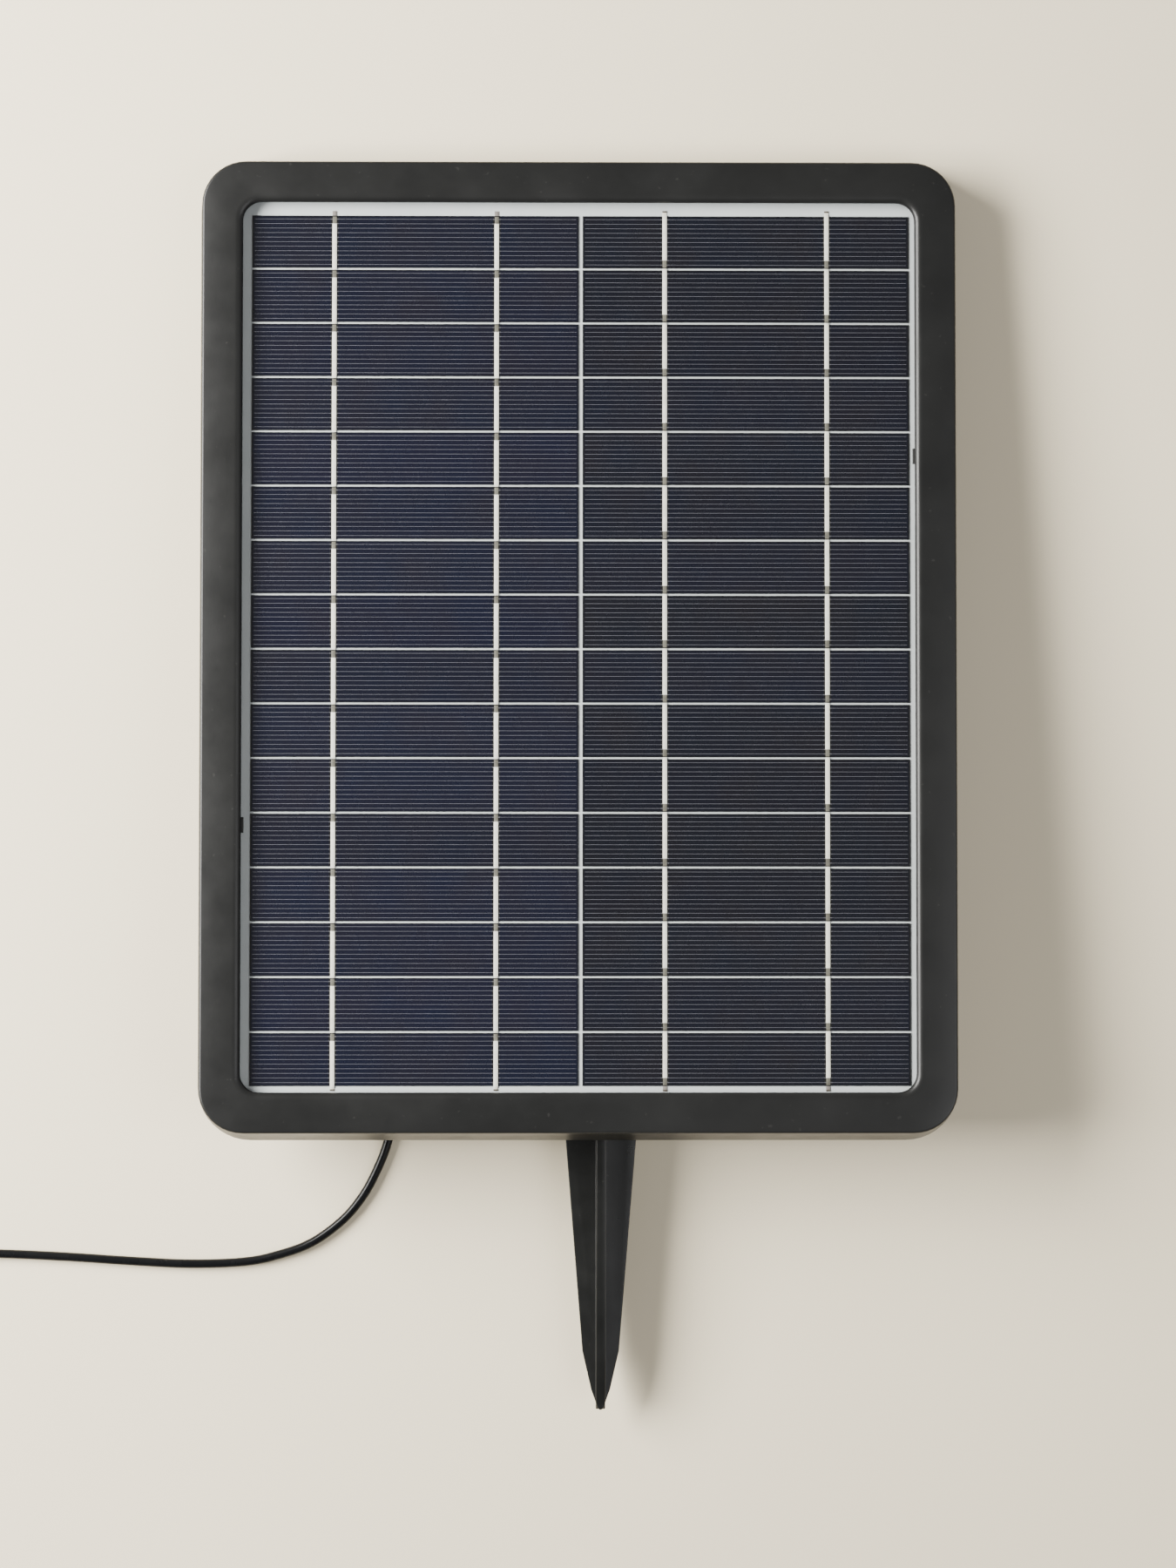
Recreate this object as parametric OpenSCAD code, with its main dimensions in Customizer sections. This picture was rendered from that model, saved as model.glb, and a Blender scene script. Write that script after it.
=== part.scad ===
// Framed solar panel on a folding ground spike, with its lead put away in a coil.
// It lies on its back: the top edge of the frame and the collar of the spike rest on z = 0.
// Units are millimetres. +X is to the right, +Y towards the panel's top edge, +Z up.

/* [Front frame] */
// Width of the front face
face_w = 355; // [250:1:480]
// Height of the front face
face_h = 462; // [300:1:620]
// Depth from the front face to the rear rim
frame_depth = 22; // [16:0.5:40]
// How far the side walls splay out towards the rear rim
side_flare = 4.4; // [0:0.1:8]
// Corner radius of the front face
face_corner_r = 21; // [6:0.5:40]
// Rounding of the front edge
edge_round = 1.4; // [0.4:0.1:3]
// Thickness of the side walls
wall_t = 3; // [2:0.1:5]
// Thickness of the front lip over the glass
lip_t = 2.5; // [1.5:0.1:4]
// Width of the face between its edge and the foot of the lip
bezel_w = 17.5; // [12:0.5:30]
// The same width at the top and bottom
bezel_h = 19.3; // [12:0.1:30]
// Corner radius of the opening
opening_r = 9; // [3:0.5:20]
// Width of the sloped edge of the lip
lip_slope = 2.6; // [1:0.1:5]
// Height of the upright foot of the lip
lip_foot = 0.6; // [0.3:0.1:1.5]

/* [Laminate] */
// How far the glass reaches under the lip
glass_overlap = 7; // [4:0.5:12]
// Thickness of the front glass
glass_t = 3.2; // [2:0.1:5]
// Thickness of the seal under the lip
seal_t = 0.5; // [0.3:0.1:1.5]
// Thickness of each encapsulant sheet
eva_t = 0.4; // [0.2:0.1:0.8]
// Thickness of the rear sheet
backsheet_t = 0.5; // [0.3:0.1:1]

/* [Cells] */
// Rows of cell strips
cell_rows = 16; // [4:1:24]
// Margin from the opening to the cells on the left
cell_margin_left = 4.2; // [2:0.1:12]
// Margin from the opening to the cells on the right
cell_margin_right = 2.5; // [2:0.1:12]
// Margin above the cells
cell_margin_top = 5.8; // [3:0.1:20]
// Margin below the cells
cell_margin_bottom = 2.9; // [2:0.1:20]
// Gap between the two columns
column_gap = 1.9; // [1:0.1:5]
// Gap between rows
row_gap = 0.9; // [0.5:0.1:3]
// Thickness of a cell
cell_t = 0.2; // [0.15:0.05:0.4]
// Width of a tabbing ribbon
ribbon_w = 2.1; // [1:0.1:4]
// Thickness of a tabbing ribbon
ribbon_t = 0.2; // [0.1:0.05:0.4]
// Distance from a cell's middle to each of its two ribbons
ribbon_offset = 38.7; // [15:0.1:60]
// How far the end ribbons reach past the cells
ribbon_end = 1.8; // [1:0.1:2.5]
// Length of printed busbar left bare at the end of each cell, mm
ribbon_bare = 3.8; // [1:0.1:8]
// Width of the collecting ribbons behind the rear sheet
bus_w = 4; // [2:0.5:8]

/* [Rear cover] */
// Thickness of the rear cover
cover_t = 2.2; // [1.5:0.1:4]
// How far the cover sits inside the rear rim
cover_recess = 3; // [1:0.1:6]
// Gap between the cover's edge and the frame
cover_gap = 0.4; // [0.2:0.05:1]
// Thickness of the ribs inside the cover
rib_t = 1.6; // [1:0.1:3]
// Height of the stiffening bars outside the cover
bar_h = 1.6; // [0.5:0.1:2.5]
// Width of the stiffening bars
bar_w = 6; // [3:0.5:12]
// Shank radius of the small screws
small_screw_r = 1.45; // [1:0.05:2]
// Length of the small screws
small_screw_l = 9; // [6:0.5:12]
// Radius of the screw bosses
boss_r = 3.7; // [3:0.1:5]
// Screws along each long side
screws_long = 4; // [2:1:8]
// Screws along each short side
screws_short = 2; // [1:1:4]

/* [Junction box] */
// Width of the junction box
box_w = 100; // [80:1:140]
// Height of the junction box along the panel
box_h = 60; // [50:1:90]
// Depth of the junction box body
box_depth = 14; // [14:0.5:20]
// Wall of the junction box
box_wall = 2; // [1.5:0.1:3]
// Thickness of the lid
lid_t = 2.2; // [1.5:0.1:4]
// Height of the box's lower wall above the middle of the panel
box_low = -10; // [-30:1:40]
// Distance of the lead's outlet to the left of the middle
outlet_x = 35; // [15:1:38]
// Depth of the outlet's axis behind the cover
outlet_depth = 8; // [7.5:0.1:9]
// Width across the flats of the gland
gland_flats = 12; // [10:0.5:14]
// Radius of the gland's thread
gland_thread_r = 4; // [3.5:0.1:5]

/* [Hinge and ground spike] */
// Distance of the hinge axis below the middle of the panel
hinge_low = 130; // [90:1:200]
// Distance of the hinge axis behind the rear rim
hinge_depth = 14.5; // [13:0.5:24]
// Radius of the hinge lugs
lug_r = 14; // [10:0.5:18]
// Thickness of each hinge lug
lug_t = 10; // [6:0.5:14]
// Radius of the clamp bolt
bolt_r = 2.95; // [2:0.05:5]
// Running clearance round the bolt and beside the lugs
run_gap = 0.08; // [0.03:0.01:0.1]
// Thickness of the friction disc
disc_t = 1; // [0.5:0.1:2]
// Clearance between the hand knob and the bracket's plate
knob_clear = 0.7; // [0.4:0.1:2]
// Angle that the spike swings out before it meets its stop
tilt_max = 85; // [45:1:85]
// Height of the spike's axis above the surface that it lies on
spike_z = 16; // [14:0.5:24]
// Width of the collar
collar_w = 44; // [36:1:60]
// Thickness of the collar
collar_t = 6; // [4:0.5:10]
// Distance from the hinge axis to the collar
collar_y = 50; // [40:1:70]
// Side of the square peg that the spike fits on
peg_w = 16; // [12:0.5:20]
// Length of the peg
peg_l = 30; // [20:1:45]
// Length of the spike from the collar to its point
spike_l = 183; // [120:1:260]
// Thickness of the spike's ribs
spike_rib_t = 4.6; // [3:0.1:8]
// Half width of the spike just before its point
spike_neck_half = 8.9; // [5:0.1:14]
// Half width that the spike gains for each mm away from its point
spike_taper = 0.0785; // [0.03:0.0005:0.12]
// Length of the point
point_l = 29; // [15:1:50]

/* [Lead] */
// Diameter of the lead
lead_d = 4.4; // [3.6:0.1:6]
// Diameter of the coil to the middle of its turns
coil_d = 53; // [44:1:80]
// Width of the bundle of turns
coil_bundle_w = 22; // [12:1:30]
// Height of the bundle of turns
coil_bundle_h = 18; // [10:1:30]
// Radius of the plug's barrel
plug_r = 2.75; // [2:0.05:3]
// Radius of the hole in the plug
plug_bore_r = 1.05; // [0.8:0.05:1.3]
// Length of the plug's barrel
plug_l = 9.5; // [8:0.1:12]
// Sub-part to draw

/* [Hidden] */
$fn = 64;

// Layers of the panel, as heights below the front face
z_seal = -lip_t;
z_glass = z_seal - seal_t;
z_eva_front = z_glass - glass_t;
z_ribbon_front = z_eva_front - eva_t;
z_cell = z_ribbon_front - ribbon_t;
z_ribbon_rear = z_cell - cell_t;
z_eva_rear = z_ribbon_rear - ribbon_t;
z_backsheet = z_eva_rear - eva_t;
z_bus = z_backsheet - backsheet_t;
z_cover_out = cover_recess - frame_depth;
z_cover_in = z_cover_out + cover_t;
z_rim = -frame_depth;

// Front frame
corner_x = face_w / 2 - face_corner_r;
corner_y = face_h / 2 - face_corner_r;
opening_w = face_w - 2 * bezel_w;
opening_h = face_h - 2 * bezel_h;
inner_wall_r = face_corner_r - wall_t;
rim_w = face_w + 2 * side_flare;
rim_h = face_h + 2 * side_flare;
glass_w = opening_w + 2 * glass_overlap;
glass_h = opening_h + 2 * glass_overlap;
glass_corner_r = 5;
layer_inset = 1;

// Cells
cells_w = opening_w - cell_margin_left - cell_margin_right;
cells_h = opening_h - cell_margin_top - cell_margin_bottom;
cell_w = (cells_w - column_gap) / 2;
cell_pitch = (cells_h + row_gap) / cell_rows;
cell_h = cell_pitch - row_gap;
cells_x0 = -opening_w / 2 + cell_margin_left;
cells_y1 = opening_h / 2 - cell_margin_top;
column_x = [cells_x0 + cell_w / 2, cells_x0 + cell_w * 1.5 + column_gap];

// Rear cover and its screws
cover_r = face_corner_r + side_flare * (-z_cover_in / frame_depth) - wall_t - cover_gap;
cover_w = 2 * (corner_x + cover_r);
cover_h = 2 * (corner_y + cover_r);
screw_gap = 0.05;
boss_x = corner_x + inner_wall_r + 0.6 - boss_r;
boss_y = corner_y + inner_wall_r + 0.6 - boss_r;
boss_seat = 0.05;
small_head_r = 2.8;
small_head_t = 1.8;
step_long = 2 * (corner_y - 25) / (screws_long - 1);
step_short = corner_x * 2 / (screws_short + 2);
rib_x = corner_x * 0.7;
rib_top = z_bus - ribbon_t - 0.2;

// Junction box
box_y = box_low + box_h / 2;
z_box = z_cover_out - seal_t;
z_box_floor = z_box - box_wall;
z_box_open = z_box - box_depth;
z_lid_out = z_box_open - lid_t;
z_outlet = z_cover_out - outlet_depth;
slot_w = 36;
slot_h = 10;
slot_y = box_y + 6;
post_r = 3.4;
post_x = box_w / 2 - 5;
post_y = box_h / 2 - 5;
board_w = 62;
board_h = 34;
board_t = 1.6;
board_x = 4;
board_y = box_y + 2;
z_board = z_box_floor - 3;
board_screw_x = board_w / 2 - 4;
tab_x = 12;
gland_seal_l = 4;
gland_nut_l = 9;
gland_flange_t = 4;
locknut_flats = 10.6;

// Hinge
bracket_w = 64;
bracket_h = 46;
bracket_t = 3;
bracket_hole_x = 25;
bracket_hole_y = 15;
bracket_screw_r = 2.45;
bracket_boss_r = 6;
insert_r = 3.4;
insert_l = 7;
z_hinge = z_rim - hinge_depth;
rib_y = max(corner_y * 0.78, hinge_low + bracket_h / 2 + bar_w / 2 + 3);
nut_wall = 2.05;
nut_flats = 2 * (bolt_r + nut_wall);
head_t = 4;
head_gap = 0.1;
disc_inset = 2;
panel_lug_x = lug_t / 2;
stake_lug_x = panel_lug_x + disc_t + run_gap;
spike_x = stake_lug_x + lug_t / 2;
washer_x = stake_lug_x + lug_t + run_gap;
washer_t = 1.2;
washer_rim = 6.05;
washer_r = bolt_r + washer_rim;
insert_wall = 2.05;
knob_insert_r = bolt_r + insert_wall;
knob_r = z_cover_out - bracket_t - z_hinge - knob_clear;
nib_r = 2.5;
nib_at = lug_r + 0.8;
knob_x = washer_x + washer_t + 0.05;
knob_l = 18;
insert_bore_l = 13;
bolt_l = knob_x + 15 - (head_t - panel_lug_x);

// The pose: how far the panel leans so that rim and collar both rest on the surface
rim_to_hinge = rim_h / 2 + hinge_low;
lean_low = asin(spike_z / norm([rim_to_hinge, hinge_depth]));
lean = lean_low + atan(hinge_depth / rim_to_hinge);
panel_z = rim_h / 2 * sin(lean) + frame_depth * cos(lean);
function lean_y(y, z) = y * cos(lean) + z * sin(lean);
function lean_z(y, z) = -y * sin(lean) + z * cos(lean) + panel_z;
top_reach = lean_y(rim_h / 2, z_rim);
hinge_reach = -lean_y(-hinge_low, z_hinge);
point_reach = hinge_reach + collar_y + collar_t + spike_l;
panel_y = (point_reach - top_reach) / 2;
hinge_y = panel_y - hinge_reach;
collar_front = hinge_y - collar_y - collar_t;
function on_row(p) = [p[0], lean_y(p[1], p[2]) + panel_y, lean_z(p[1], p[2])];

// Spike
hub_wall = 4.5;
hub_w = peg_w + 2 * hub_wall;
hub_l = 36;
rib_cap = spike_z - 1;
spike_point = -spike_l;
spike_neck = spike_point + point_l;
spike_root_half = spike_neck_half - spike_neck * spike_taper;
nib_angle = asin((z_cover_out - bracket_t - z_hinge - nib_r) / nib_at) - lean - tilt_max - 2;
cap_at = spike_neck + (rib_cap - spike_neck_half) / spike_taper;

// Route of the lead from inside the junction box, then along the surface and into the coil
lead_r = lead_d / 2;
lead_sides = 8;
outlet_in = on_row([-outlet_x, box_low + 9, z_outlet]);
outlet_end = on_row([-outlet_x, box_low - gland_flange_t - gland_nut_l, z_outlet]);
outlet_out = on_row([-outlet_x, box_low - gland_flange_t - gland_nut_l - 12, z_outlet]);
lead_points = [
    outlet_in,
    outlet_end,
    outlet_out,
    [-36.5, 20, 14.6],
    [-39.5, 7, 9.4],
    [-44, -7, 5],
    [-49.5, -22, 2.9],
    [-58, -44, 2.3],
    [-70, -85, 2.3],
    [-81, -126, 2.3],
    [-88.5, -156, 2.3],
    [-93, -174, 2.3],
    [-98, -187, 2.3],
    [-105, -200, 2.3],
    [-115, -212, 2.3],
    [-130, -223, 2.3],
    [-146, -229, 2.3],
    [-163, -232.5, 2.3],
    [-190, -233.5, 2.3],
    [-220, -232, 2.3],
    [-250, -230, 2.3],
    [-282, -228.5, 2.3],
    [-308, -228.4, 2.3],
    [-324, -228.3, 2.7],
    [-341, -228.3, 3.1]
];
lead_steps = 3;

// Coil, its tie and the plug beside it
coil_x = -358;
coil_y = -193;
tie_angle = 60;
tie_t = 0.8;
tie_w = 6;
tie_gap = 0.4;
coil_z = tie_t + 0.1;
tail_points = [
    [-397.6, -200, 3.1],
    [-397.8, -193, 3.1],
    [-398, -186, 3.3],
    [-398, -179, 4.2],
    [-398, -172, 5],
    [-398, -165, 5.2]
];
plug_x = -398;
plug_y = -164.9;
plug_z = 5.2;
grip_r = 5;
grip_l = 27;

// ---------- helpers ----------

// Puts the panel's own axes, with the front face at z = 0, into the leaning pose
module on_panel() {
    translate([0, panel_y, panel_z])
        rotate([-lean, 0, 0])
            children();
}

// Flat rectangle with round corners
module round_rect(w, h, r) {
    square([w - 2 * r, h], center = true);
    square([w, h - 2 * r], center = true);
    for (x = [-1, 1], y = [-1, 1])
        translate([x * (w / 2 - r), y * (h / 2 - r)])
            circle(r);
}

// Rounded plate whose upper face is at height z
module plate(w, h, r, z, t) {
    translate([0, 0, z - t])
        linear_extrude(t)
            round_rect(w, h, r);
}

// Sweeps a flat profile (distance from the corner centres, height) round a rectangle
module sweep_round(cx, cy) {
    for (side = [0, 180])
        rotate([0, 0, side]) {
            translate([cx, 0, 0])
                rotate([90, 0, 0])
                    linear_extrude(2 * cy, center = true)
                        children();
            rotate([0, 0, 90])
                translate([cy, 0, 0])
                    rotate([90, 0, 0])
                        linear_extrude(2 * cx, center = true)
                            children();
            translate([cx, cy, 0])
                rotate_extrude(angle = 90)
                    children();
            rotate([0, 0, 90])
                translate([cy, cx, 0])
                    rotate_extrude(angle = 90)
                        children();
        }
}

// Repeats its children at the four corners of a rectangle
module at_corners(x, y) {
    for (sx = [-1, 1], sy = [-1, 1])
        translate([sx * x, sy * y, 0])
            children();
}

// Cylinder along +X from x = 0
module rod_x(r, l) {
    rotate([0, 90, 0])
        cylinder(r = r, h = l);
}

// Cylinder along -Y from y = 0
module rod_y(r, l) {
    rotate([90, 0, 0])
        cylinder(r = r, h = l);
}

// Screw with its head's seat at z = 0, pointing to +Z
module screw(r, l, head_r, head_t) {
    difference() {
        union() {
            cylinder(r = r, h = l);
            translate([0, 0, -head_t])
                cylinder(r = head_r, h = head_t);
        }
        for (turn = [0, 90])
            rotate([0, 0, turn])
                translate([0, 0, -head_t])
                    cube([head_r * 1.1, 0.9, head_t], center = true);
    }
}

// Places its children at every screw of the rear cover
module at_cover_screws() {
    for (i = [0:screws_long - 1], side = [-1, 1])
        translate([side * boss_x, -corner_y + 25 + i * step_long, 0])
            children();
    for (i = [1:screws_short], side = [-1, 1])
        translate([(i - (screws_short + 1) / 2) * step_short * 1.5, side * boss_y, 0])
            children();
}

// Smooth curve through a list of points
function between(a, b, c, d, t) =
    0.5 * (2 * b + (c - a) * t + (2 * a - 5 * b + 4 * c - d) * t * t
    + (3 * b - a - 3 * c + d) * t * t * t);
function smooth_route(p, n) = [
    for (i = [0:len(p) - 2], s = [0:n - 1])
        between(p[max(i - 1, 0)], p[i], p[i + 1], p[min(i + 2, len(p) - 1)], s / n),
    p[len(p) - 1]
];
function unit(v) = v / norm(v);
function ahead(p, i) = unit(p[min(i + 1, len(p) - 1)] - p[max(i - 1, 0)]);
function ring(centre, along, r, n) =
    let (side = unit(cross([0, 0, 1], along)), up = cross(along, side))
    [for (k = [0:n - 1]) centre + r * (cos(360 * (k + 0.5) / n) * side + sin(360 * (k + 0.5) / n) * up)];

// Round tube along a route, closed at both ends
module tube(route, r, n) {
    rings = [for (i = [0:len(route) - 1]) each ring(route[i], ahead(route, i), r, n)];
    last = (len(route) - 1) * n;
    walls = [
        for (i = [0:len(route) - 2], k = [0:n - 1])
            let (a = i * n + k, b = i * n + (k + 1) % n)
            each [[a, a + n, b], [b, a + n, b + n]]
    ];
    first_cap = [for (k = [0:n - 1]) k];
    last_cap = [for (k = [n - 1:-1:0]) last + k];
    polyhedron(rings, concat(walls, [first_cap, last_cap]), convexity = 10);
}

// ---------- panel ----------

// Section of the frame from the corner centres outwards
module frame_section() {
    round_steps = 6;
    polygon(concat(
        [[0, 0]],
        [for (i = [0:round_steps])
            let (a = 90 - 90 * i / round_steps)
            [face_corner_r - edge_round + edge_round * cos(a), -edge_round + edge_round * sin(a)]],
        [
            [face_corner_r + side_flare, z_rim],
            [face_corner_r + side_flare - wall_t, z_rim],
            [cover_r + cover_gap, z_cover_in],
            [inner_wall_r, z_cover_in],
            [inner_wall_r, -lip_t],
            [0, -lip_t]
        ]
    ));
}

// Section of the opening, upright at its foot and sloped above
module opening_section() {
    polygon([
        [0, -lip_t - 1],
        [opening_r, -lip_t - 1],
        [opening_r, -lip_t + lip_foot],
        [opening_r + lip_slope, 0],
        [opening_r + lip_slope, 1],
        [0, 1]
    ]);
}

module front_frame() {
    color([0.07, 0.075, 0.075])
        on_panel()
            difference() {
                union() {
                    translate([0, 0, -lip_t / 2])
                        cube([2 * corner_x, 2 * corner_y, lip_t], center = true);
                    sweep_round(corner_x, corner_y)
                        frame_section();
                    translate([0, 0, z_cover_in + boss_seat])
                        at_cover_screws()
                            cylinder(r = boss_r, h = -lip_t - z_cover_in - boss_seat);
                }
                cube([opening_w - 2 * opening_r, opening_h - 2 * opening_r, 3 * lip_t], center = true);
                sweep_round(opening_w / 2 - opening_r, opening_h / 2 - opening_r)
                    opening_section();
                translate([0, 0, z_cover_in])
                    at_cover_screws()
                        cylinder(r = small_screw_r + screw_gap, h = small_screw_l);
            }
}

module glass_seal() {
    color([0.1, 0.1, 0.1])
        on_panel()
            difference() {
                plate(glass_w, glass_h, glass_corner_r, z_seal, seal_t);
                plate(opening_w + 1, opening_h + 1, opening_r, z_seal + 1, seal_t + 2);
            }
}

module front_glass() {
    color([0.75, 0.85, 0.85, 0.35])
        on_panel()
            plate(glass_w, glass_h, glass_corner_r, z_glass, glass_t);
}

module front_encapsulant() {
    color([0.9, 0.9, 0.85, 0.4])
        on_panel()
            plate(glass_w - 2 * layer_inset, glass_h - 2 * layer_inset, glass_corner_r,
                z_eva_front, eva_t);
}

// Places its children at each cell: the right column upright, the left one turned half round
module at_cells() {
    for (c = [0, 1], row = [0:cell_rows - 1])
        translate([column_x[c], cells_y1 - cell_h / 2 - row * cell_pitch, 0])
            rotate([0, 0, (1 - c) * 180])
                children();
}

module cell_strips() {
    color([0.09, 0.12, 0.25])
        on_panel()
            at_cells()
                translate([0, 0, z_cell - cell_t / 2])
                    cube([cell_w, cell_h, cell_t], center = true);
}

// Each ribbon runs over the front of one cell, down the row gap and behind the next cell
module tabbing_ribbons() {
    gap_y = cell_h / 2 + row_gap / 2;
    color([0.85, 0.84, 0.76])
        on_panel()
            at_cells()
                for (side = [-1, 1])
                    translate([side * ribbon_offset - ribbon_w / 2, 0, 0])
                        rotate([90, 0, 90])
                            linear_extrude(ribbon_w)
                                polygon([
                                    [-cell_h / 2 + ribbon_bare, z_ribbon_front],
                                    [gap_y + ribbon_t / 2, z_ribbon_front],
                                    [gap_y + ribbon_t / 2, z_ribbon_rear],
                                    [gap_y + ribbon_end, z_ribbon_rear],
                                    [gap_y + ribbon_end, z_ribbon_rear - ribbon_t],
                                    [gap_y - ribbon_t / 2, z_ribbon_rear - ribbon_t],
                                    [gap_y - ribbon_t / 2, z_ribbon_front - ribbon_t],
                                    [-cell_h / 2 + ribbon_bare, z_ribbon_front - ribbon_t]
                                ]);
    // tabs behind the cell at the far end of each column's run
    color([0.85, 0.84, 0.76])
        on_panel()
            for (c = [0, 1], side = [-1, 1])
                translate([
                    column_x[c] + side * ribbon_offset,
                    cells_y1 - c * cells_h + (1 - 2 * c) * (row_gap / 2 + ribbon_end - 2.5),
                    z_ribbon_rear - ribbon_t / 2
                ])
                    cube([ribbon_w, 5, ribbon_t], center = true);
}

module rear_encapsulant() {
    color([0.9, 0.9, 0.85, 0.6])
        on_panel()
            plate(glass_w - 2 * layer_inset, glass_h - 2 * layer_inset, glass_corner_r,
                z_eva_rear, eva_t);
}

module backsheet() {
    color([0.86, 0.87, 0.86])
        on_panel()
            plate(glass_w, glass_h, glass_corner_r, z_backsheet, backsheet_t);
}

// Collecting ribbons on the back of the rear sheet: a link across the top, two returns below
module bus_ribbons() {
    top_y = cells_y1 + 3;
    low_y = cells_y1 - cells_h - 1;
    run_top = slot_y;
    reach = ribbon_offset + ribbon_w;
    color([0.8, 0.8, 0.74])
        on_panel()
            translate([0, 0, z_bus - ribbon_t]) {
                translate([column_x[0] - reach, top_y - bus_w, 0])
                    cube([column_x[1] - column_x[0] + 2 * reach, bus_w, ribbon_t]);
                for (c = [0, 1]) {
                    inner = c == 0 ? -tab_x : tab_x;
                    outer = column_x[c] + (2 * c - 1) * reach;
                    translate([min(inner, outer) - (c == 0 ? 0 : bus_w / 2), low_y, 0])
                        cube([abs(outer - inner) + bus_w / 2, bus_w, ribbon_t]);
                    translate([inner - bus_w / 2, low_y, 0])
                        cube([bus_w, run_top - low_y, ribbon_t]);
                }
            }
}

// ---------- rear cover ----------

module rear_cover() {
    inner_h = z_cover_in - rib_top;
    color([0.08, 0.085, 0.085])
        on_panel()
            difference() {
                union() {
                    plate(cover_w, cover_h, cover_r, z_cover_in, cover_t);
                    // ribs inside, which back the laminate
                    for (side = [-1, 1]) {
                        translate([side * rib_x, 0, (z_cover_in + rib_top) / 2])
                            cube([rib_t, 2 * corner_y, -inner_h], center = true);
                        translate([0, side * rib_y, (z_cover_in + rib_top) / 2])
                            cube([2 * rib_x, rib_t, -inner_h], center = true);
                    }
                    // bosses for the hinge bracket
                    translate([0, -hinge_low, z_cover_in - 0.1])
                        at_corners(bracket_hole_x, bracket_hole_y)
                            cylinder(r = bracket_boss_r, h = insert_l - cover_t + 1.5);
                    // stiffening bars outside
                    for (side = [-1, 1]) {
                        translate([side * rib_x, 0, z_cover_out - bar_h / 2])
                            cube([bar_w, 2 * rib_y, bar_h], center = true);
                        translate([0, side * rib_y, z_cover_out - bar_h / 2])
                            cube([2 * rib_x + bar_w, bar_w, bar_h], center = true);
                    }
                }
                translate([0, -hinge_low, z_cover_out - 1])
                    at_corners(bracket_hole_x, bracket_hole_y)
                        cylinder(r = insert_r + screw_gap, h = insert_l + 1);
                translate([0, slot_y, z_cover_in])
                    cube([slot_w, slot_h, 3 * cover_t], center = true);
                translate([0, 0, z_cover_out - 1])
                    at_cover_screws()
                        cylinder(r = small_screw_r + 0.3, h = cover_t + 2);
            }
}

module rear_cover_screws() {
    color([0.55, 0.55, 0.57])
        on_panel()
            translate([0, 0, z_cover_out])
                at_cover_screws()
                    screw(small_screw_r, small_screw_l, small_head_r, small_head_t);
}

// ---------- junction box ----------

module box_adhesive() {
    color([0.2, 0.2, 0.2])
        on_panel()
            translate([0, box_y, 0])
                difference() {
                    plate(box_w - 2, box_h - 2, 5, z_cover_out, seal_t);
                    translate([0, slot_y - box_y, z_cover_out])
                        cube([slot_w, slot_h, 3], center = true);
                }
}

module at_board_posts() {
    for (side = [-1, 1])
        translate([board_x + side * board_screw_x, board_y - board_h / 2 + 4, 0])
            children();
}

module junction_box() {
    color([0.07, 0.07, 0.075])
        on_panel()
            difference() {
                union() {
                    difference() {
                        translate([0, box_y, 0])
                            plate(box_w, box_h, 6, z_box, box_depth);
                        translate([0, box_y, 0])
                            plate(box_w - 2 * box_wall, box_h - 2 * box_wall, 4,
                                z_box_floor, box_depth);
                    }
                    translate([0, box_y, z_box_open])
                        at_corners(post_x, post_y)
                            cylinder(r = post_r, h = box_depth - 0.5);
                    translate([0, 0, z_board])
                        at_board_posts()
                            cylinder(r = 2.6, h = z_box_floor - z_board + 0.5);
                }
                translate([0, slot_y, z_box])
                    cube([slot_w, slot_h, 3 * box_wall], center = true);
                translate([0, box_y, z_box_open - 1])
                    at_corners(post_x, post_y)
                        cylinder(r = small_screw_r + screw_gap, h = 9.2);
                translate([0, 0, z_board - 1])
                    at_board_posts()
                        cylinder(r = 1.05, h = 4.5);
                translate([-outlet_x, box_low + box_wall + 1, z_outlet])
                    rod_y(gland_thread_r + 0.1, box_wall + 2);
            }
}

module lid_gasket() {
    color([0.15, 0.15, 0.15])
        on_panel()
            translate([0, box_y, 0])
                difference() {
                    plate(box_w - 0.8, box_h - 0.8, 5.6, z_box_open, 0.8);
                    plate(box_w - 3.2, box_h - 3.2, 4.4, z_box_open + 1, 3);
                }
}

module junction_box_lid() {
    color([0.075, 0.075, 0.08])
        on_panel()
            translate([0, box_y, 0])
                difference() {
                    plate(box_w, box_h, 6, z_box_open, lid_t);
                    difference() {
                        plate(box_w - 0.6, box_h - 0.6, 5.7, z_box_open + 1, 1.85);
                        plate(box_w - 3.4, box_h - 3.4, 4.3, z_box_open + 2, 4);
                    }
                    translate([0, 0, z_lid_out - 1])
                        at_corners(post_x, post_y)
                            cylinder(r = small_screw_r + 0.3, h = lid_t + 2);
                    translate([0, 0, z_lid_out - 1])
                        at_corners(post_x, post_y)
                            cylinder(r = small_head_r + 0.3, h = 2.2);
                }
}

module lid_screws() {
    color([0.55, 0.55, 0.57])
        on_panel()
            translate([0, box_y, z_lid_out + 1.2])
                at_corners(post_x, post_y)
                    screw(small_screw_r, 8, small_head_r, 1.2);
}

module circuit_board() {
    color([0.1, 0.35, 0.18])
        on_panel()
            difference() {
                translate([board_x, board_y, z_board - board_t / 2])
                    cube([board_w, board_h, board_t], center = true);
                translate([0, 0, z_board - board_t - 1])
                    at_board_posts()
                        cylinder(r = 1.3, h = board_t + 2);
                for (side = [-1, 1])
                    translate([side * tab_x, slot_y, z_board])
                        cube([bus_w + 0.4, 0.8, 4 * board_t], center = true);
            }
}

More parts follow.
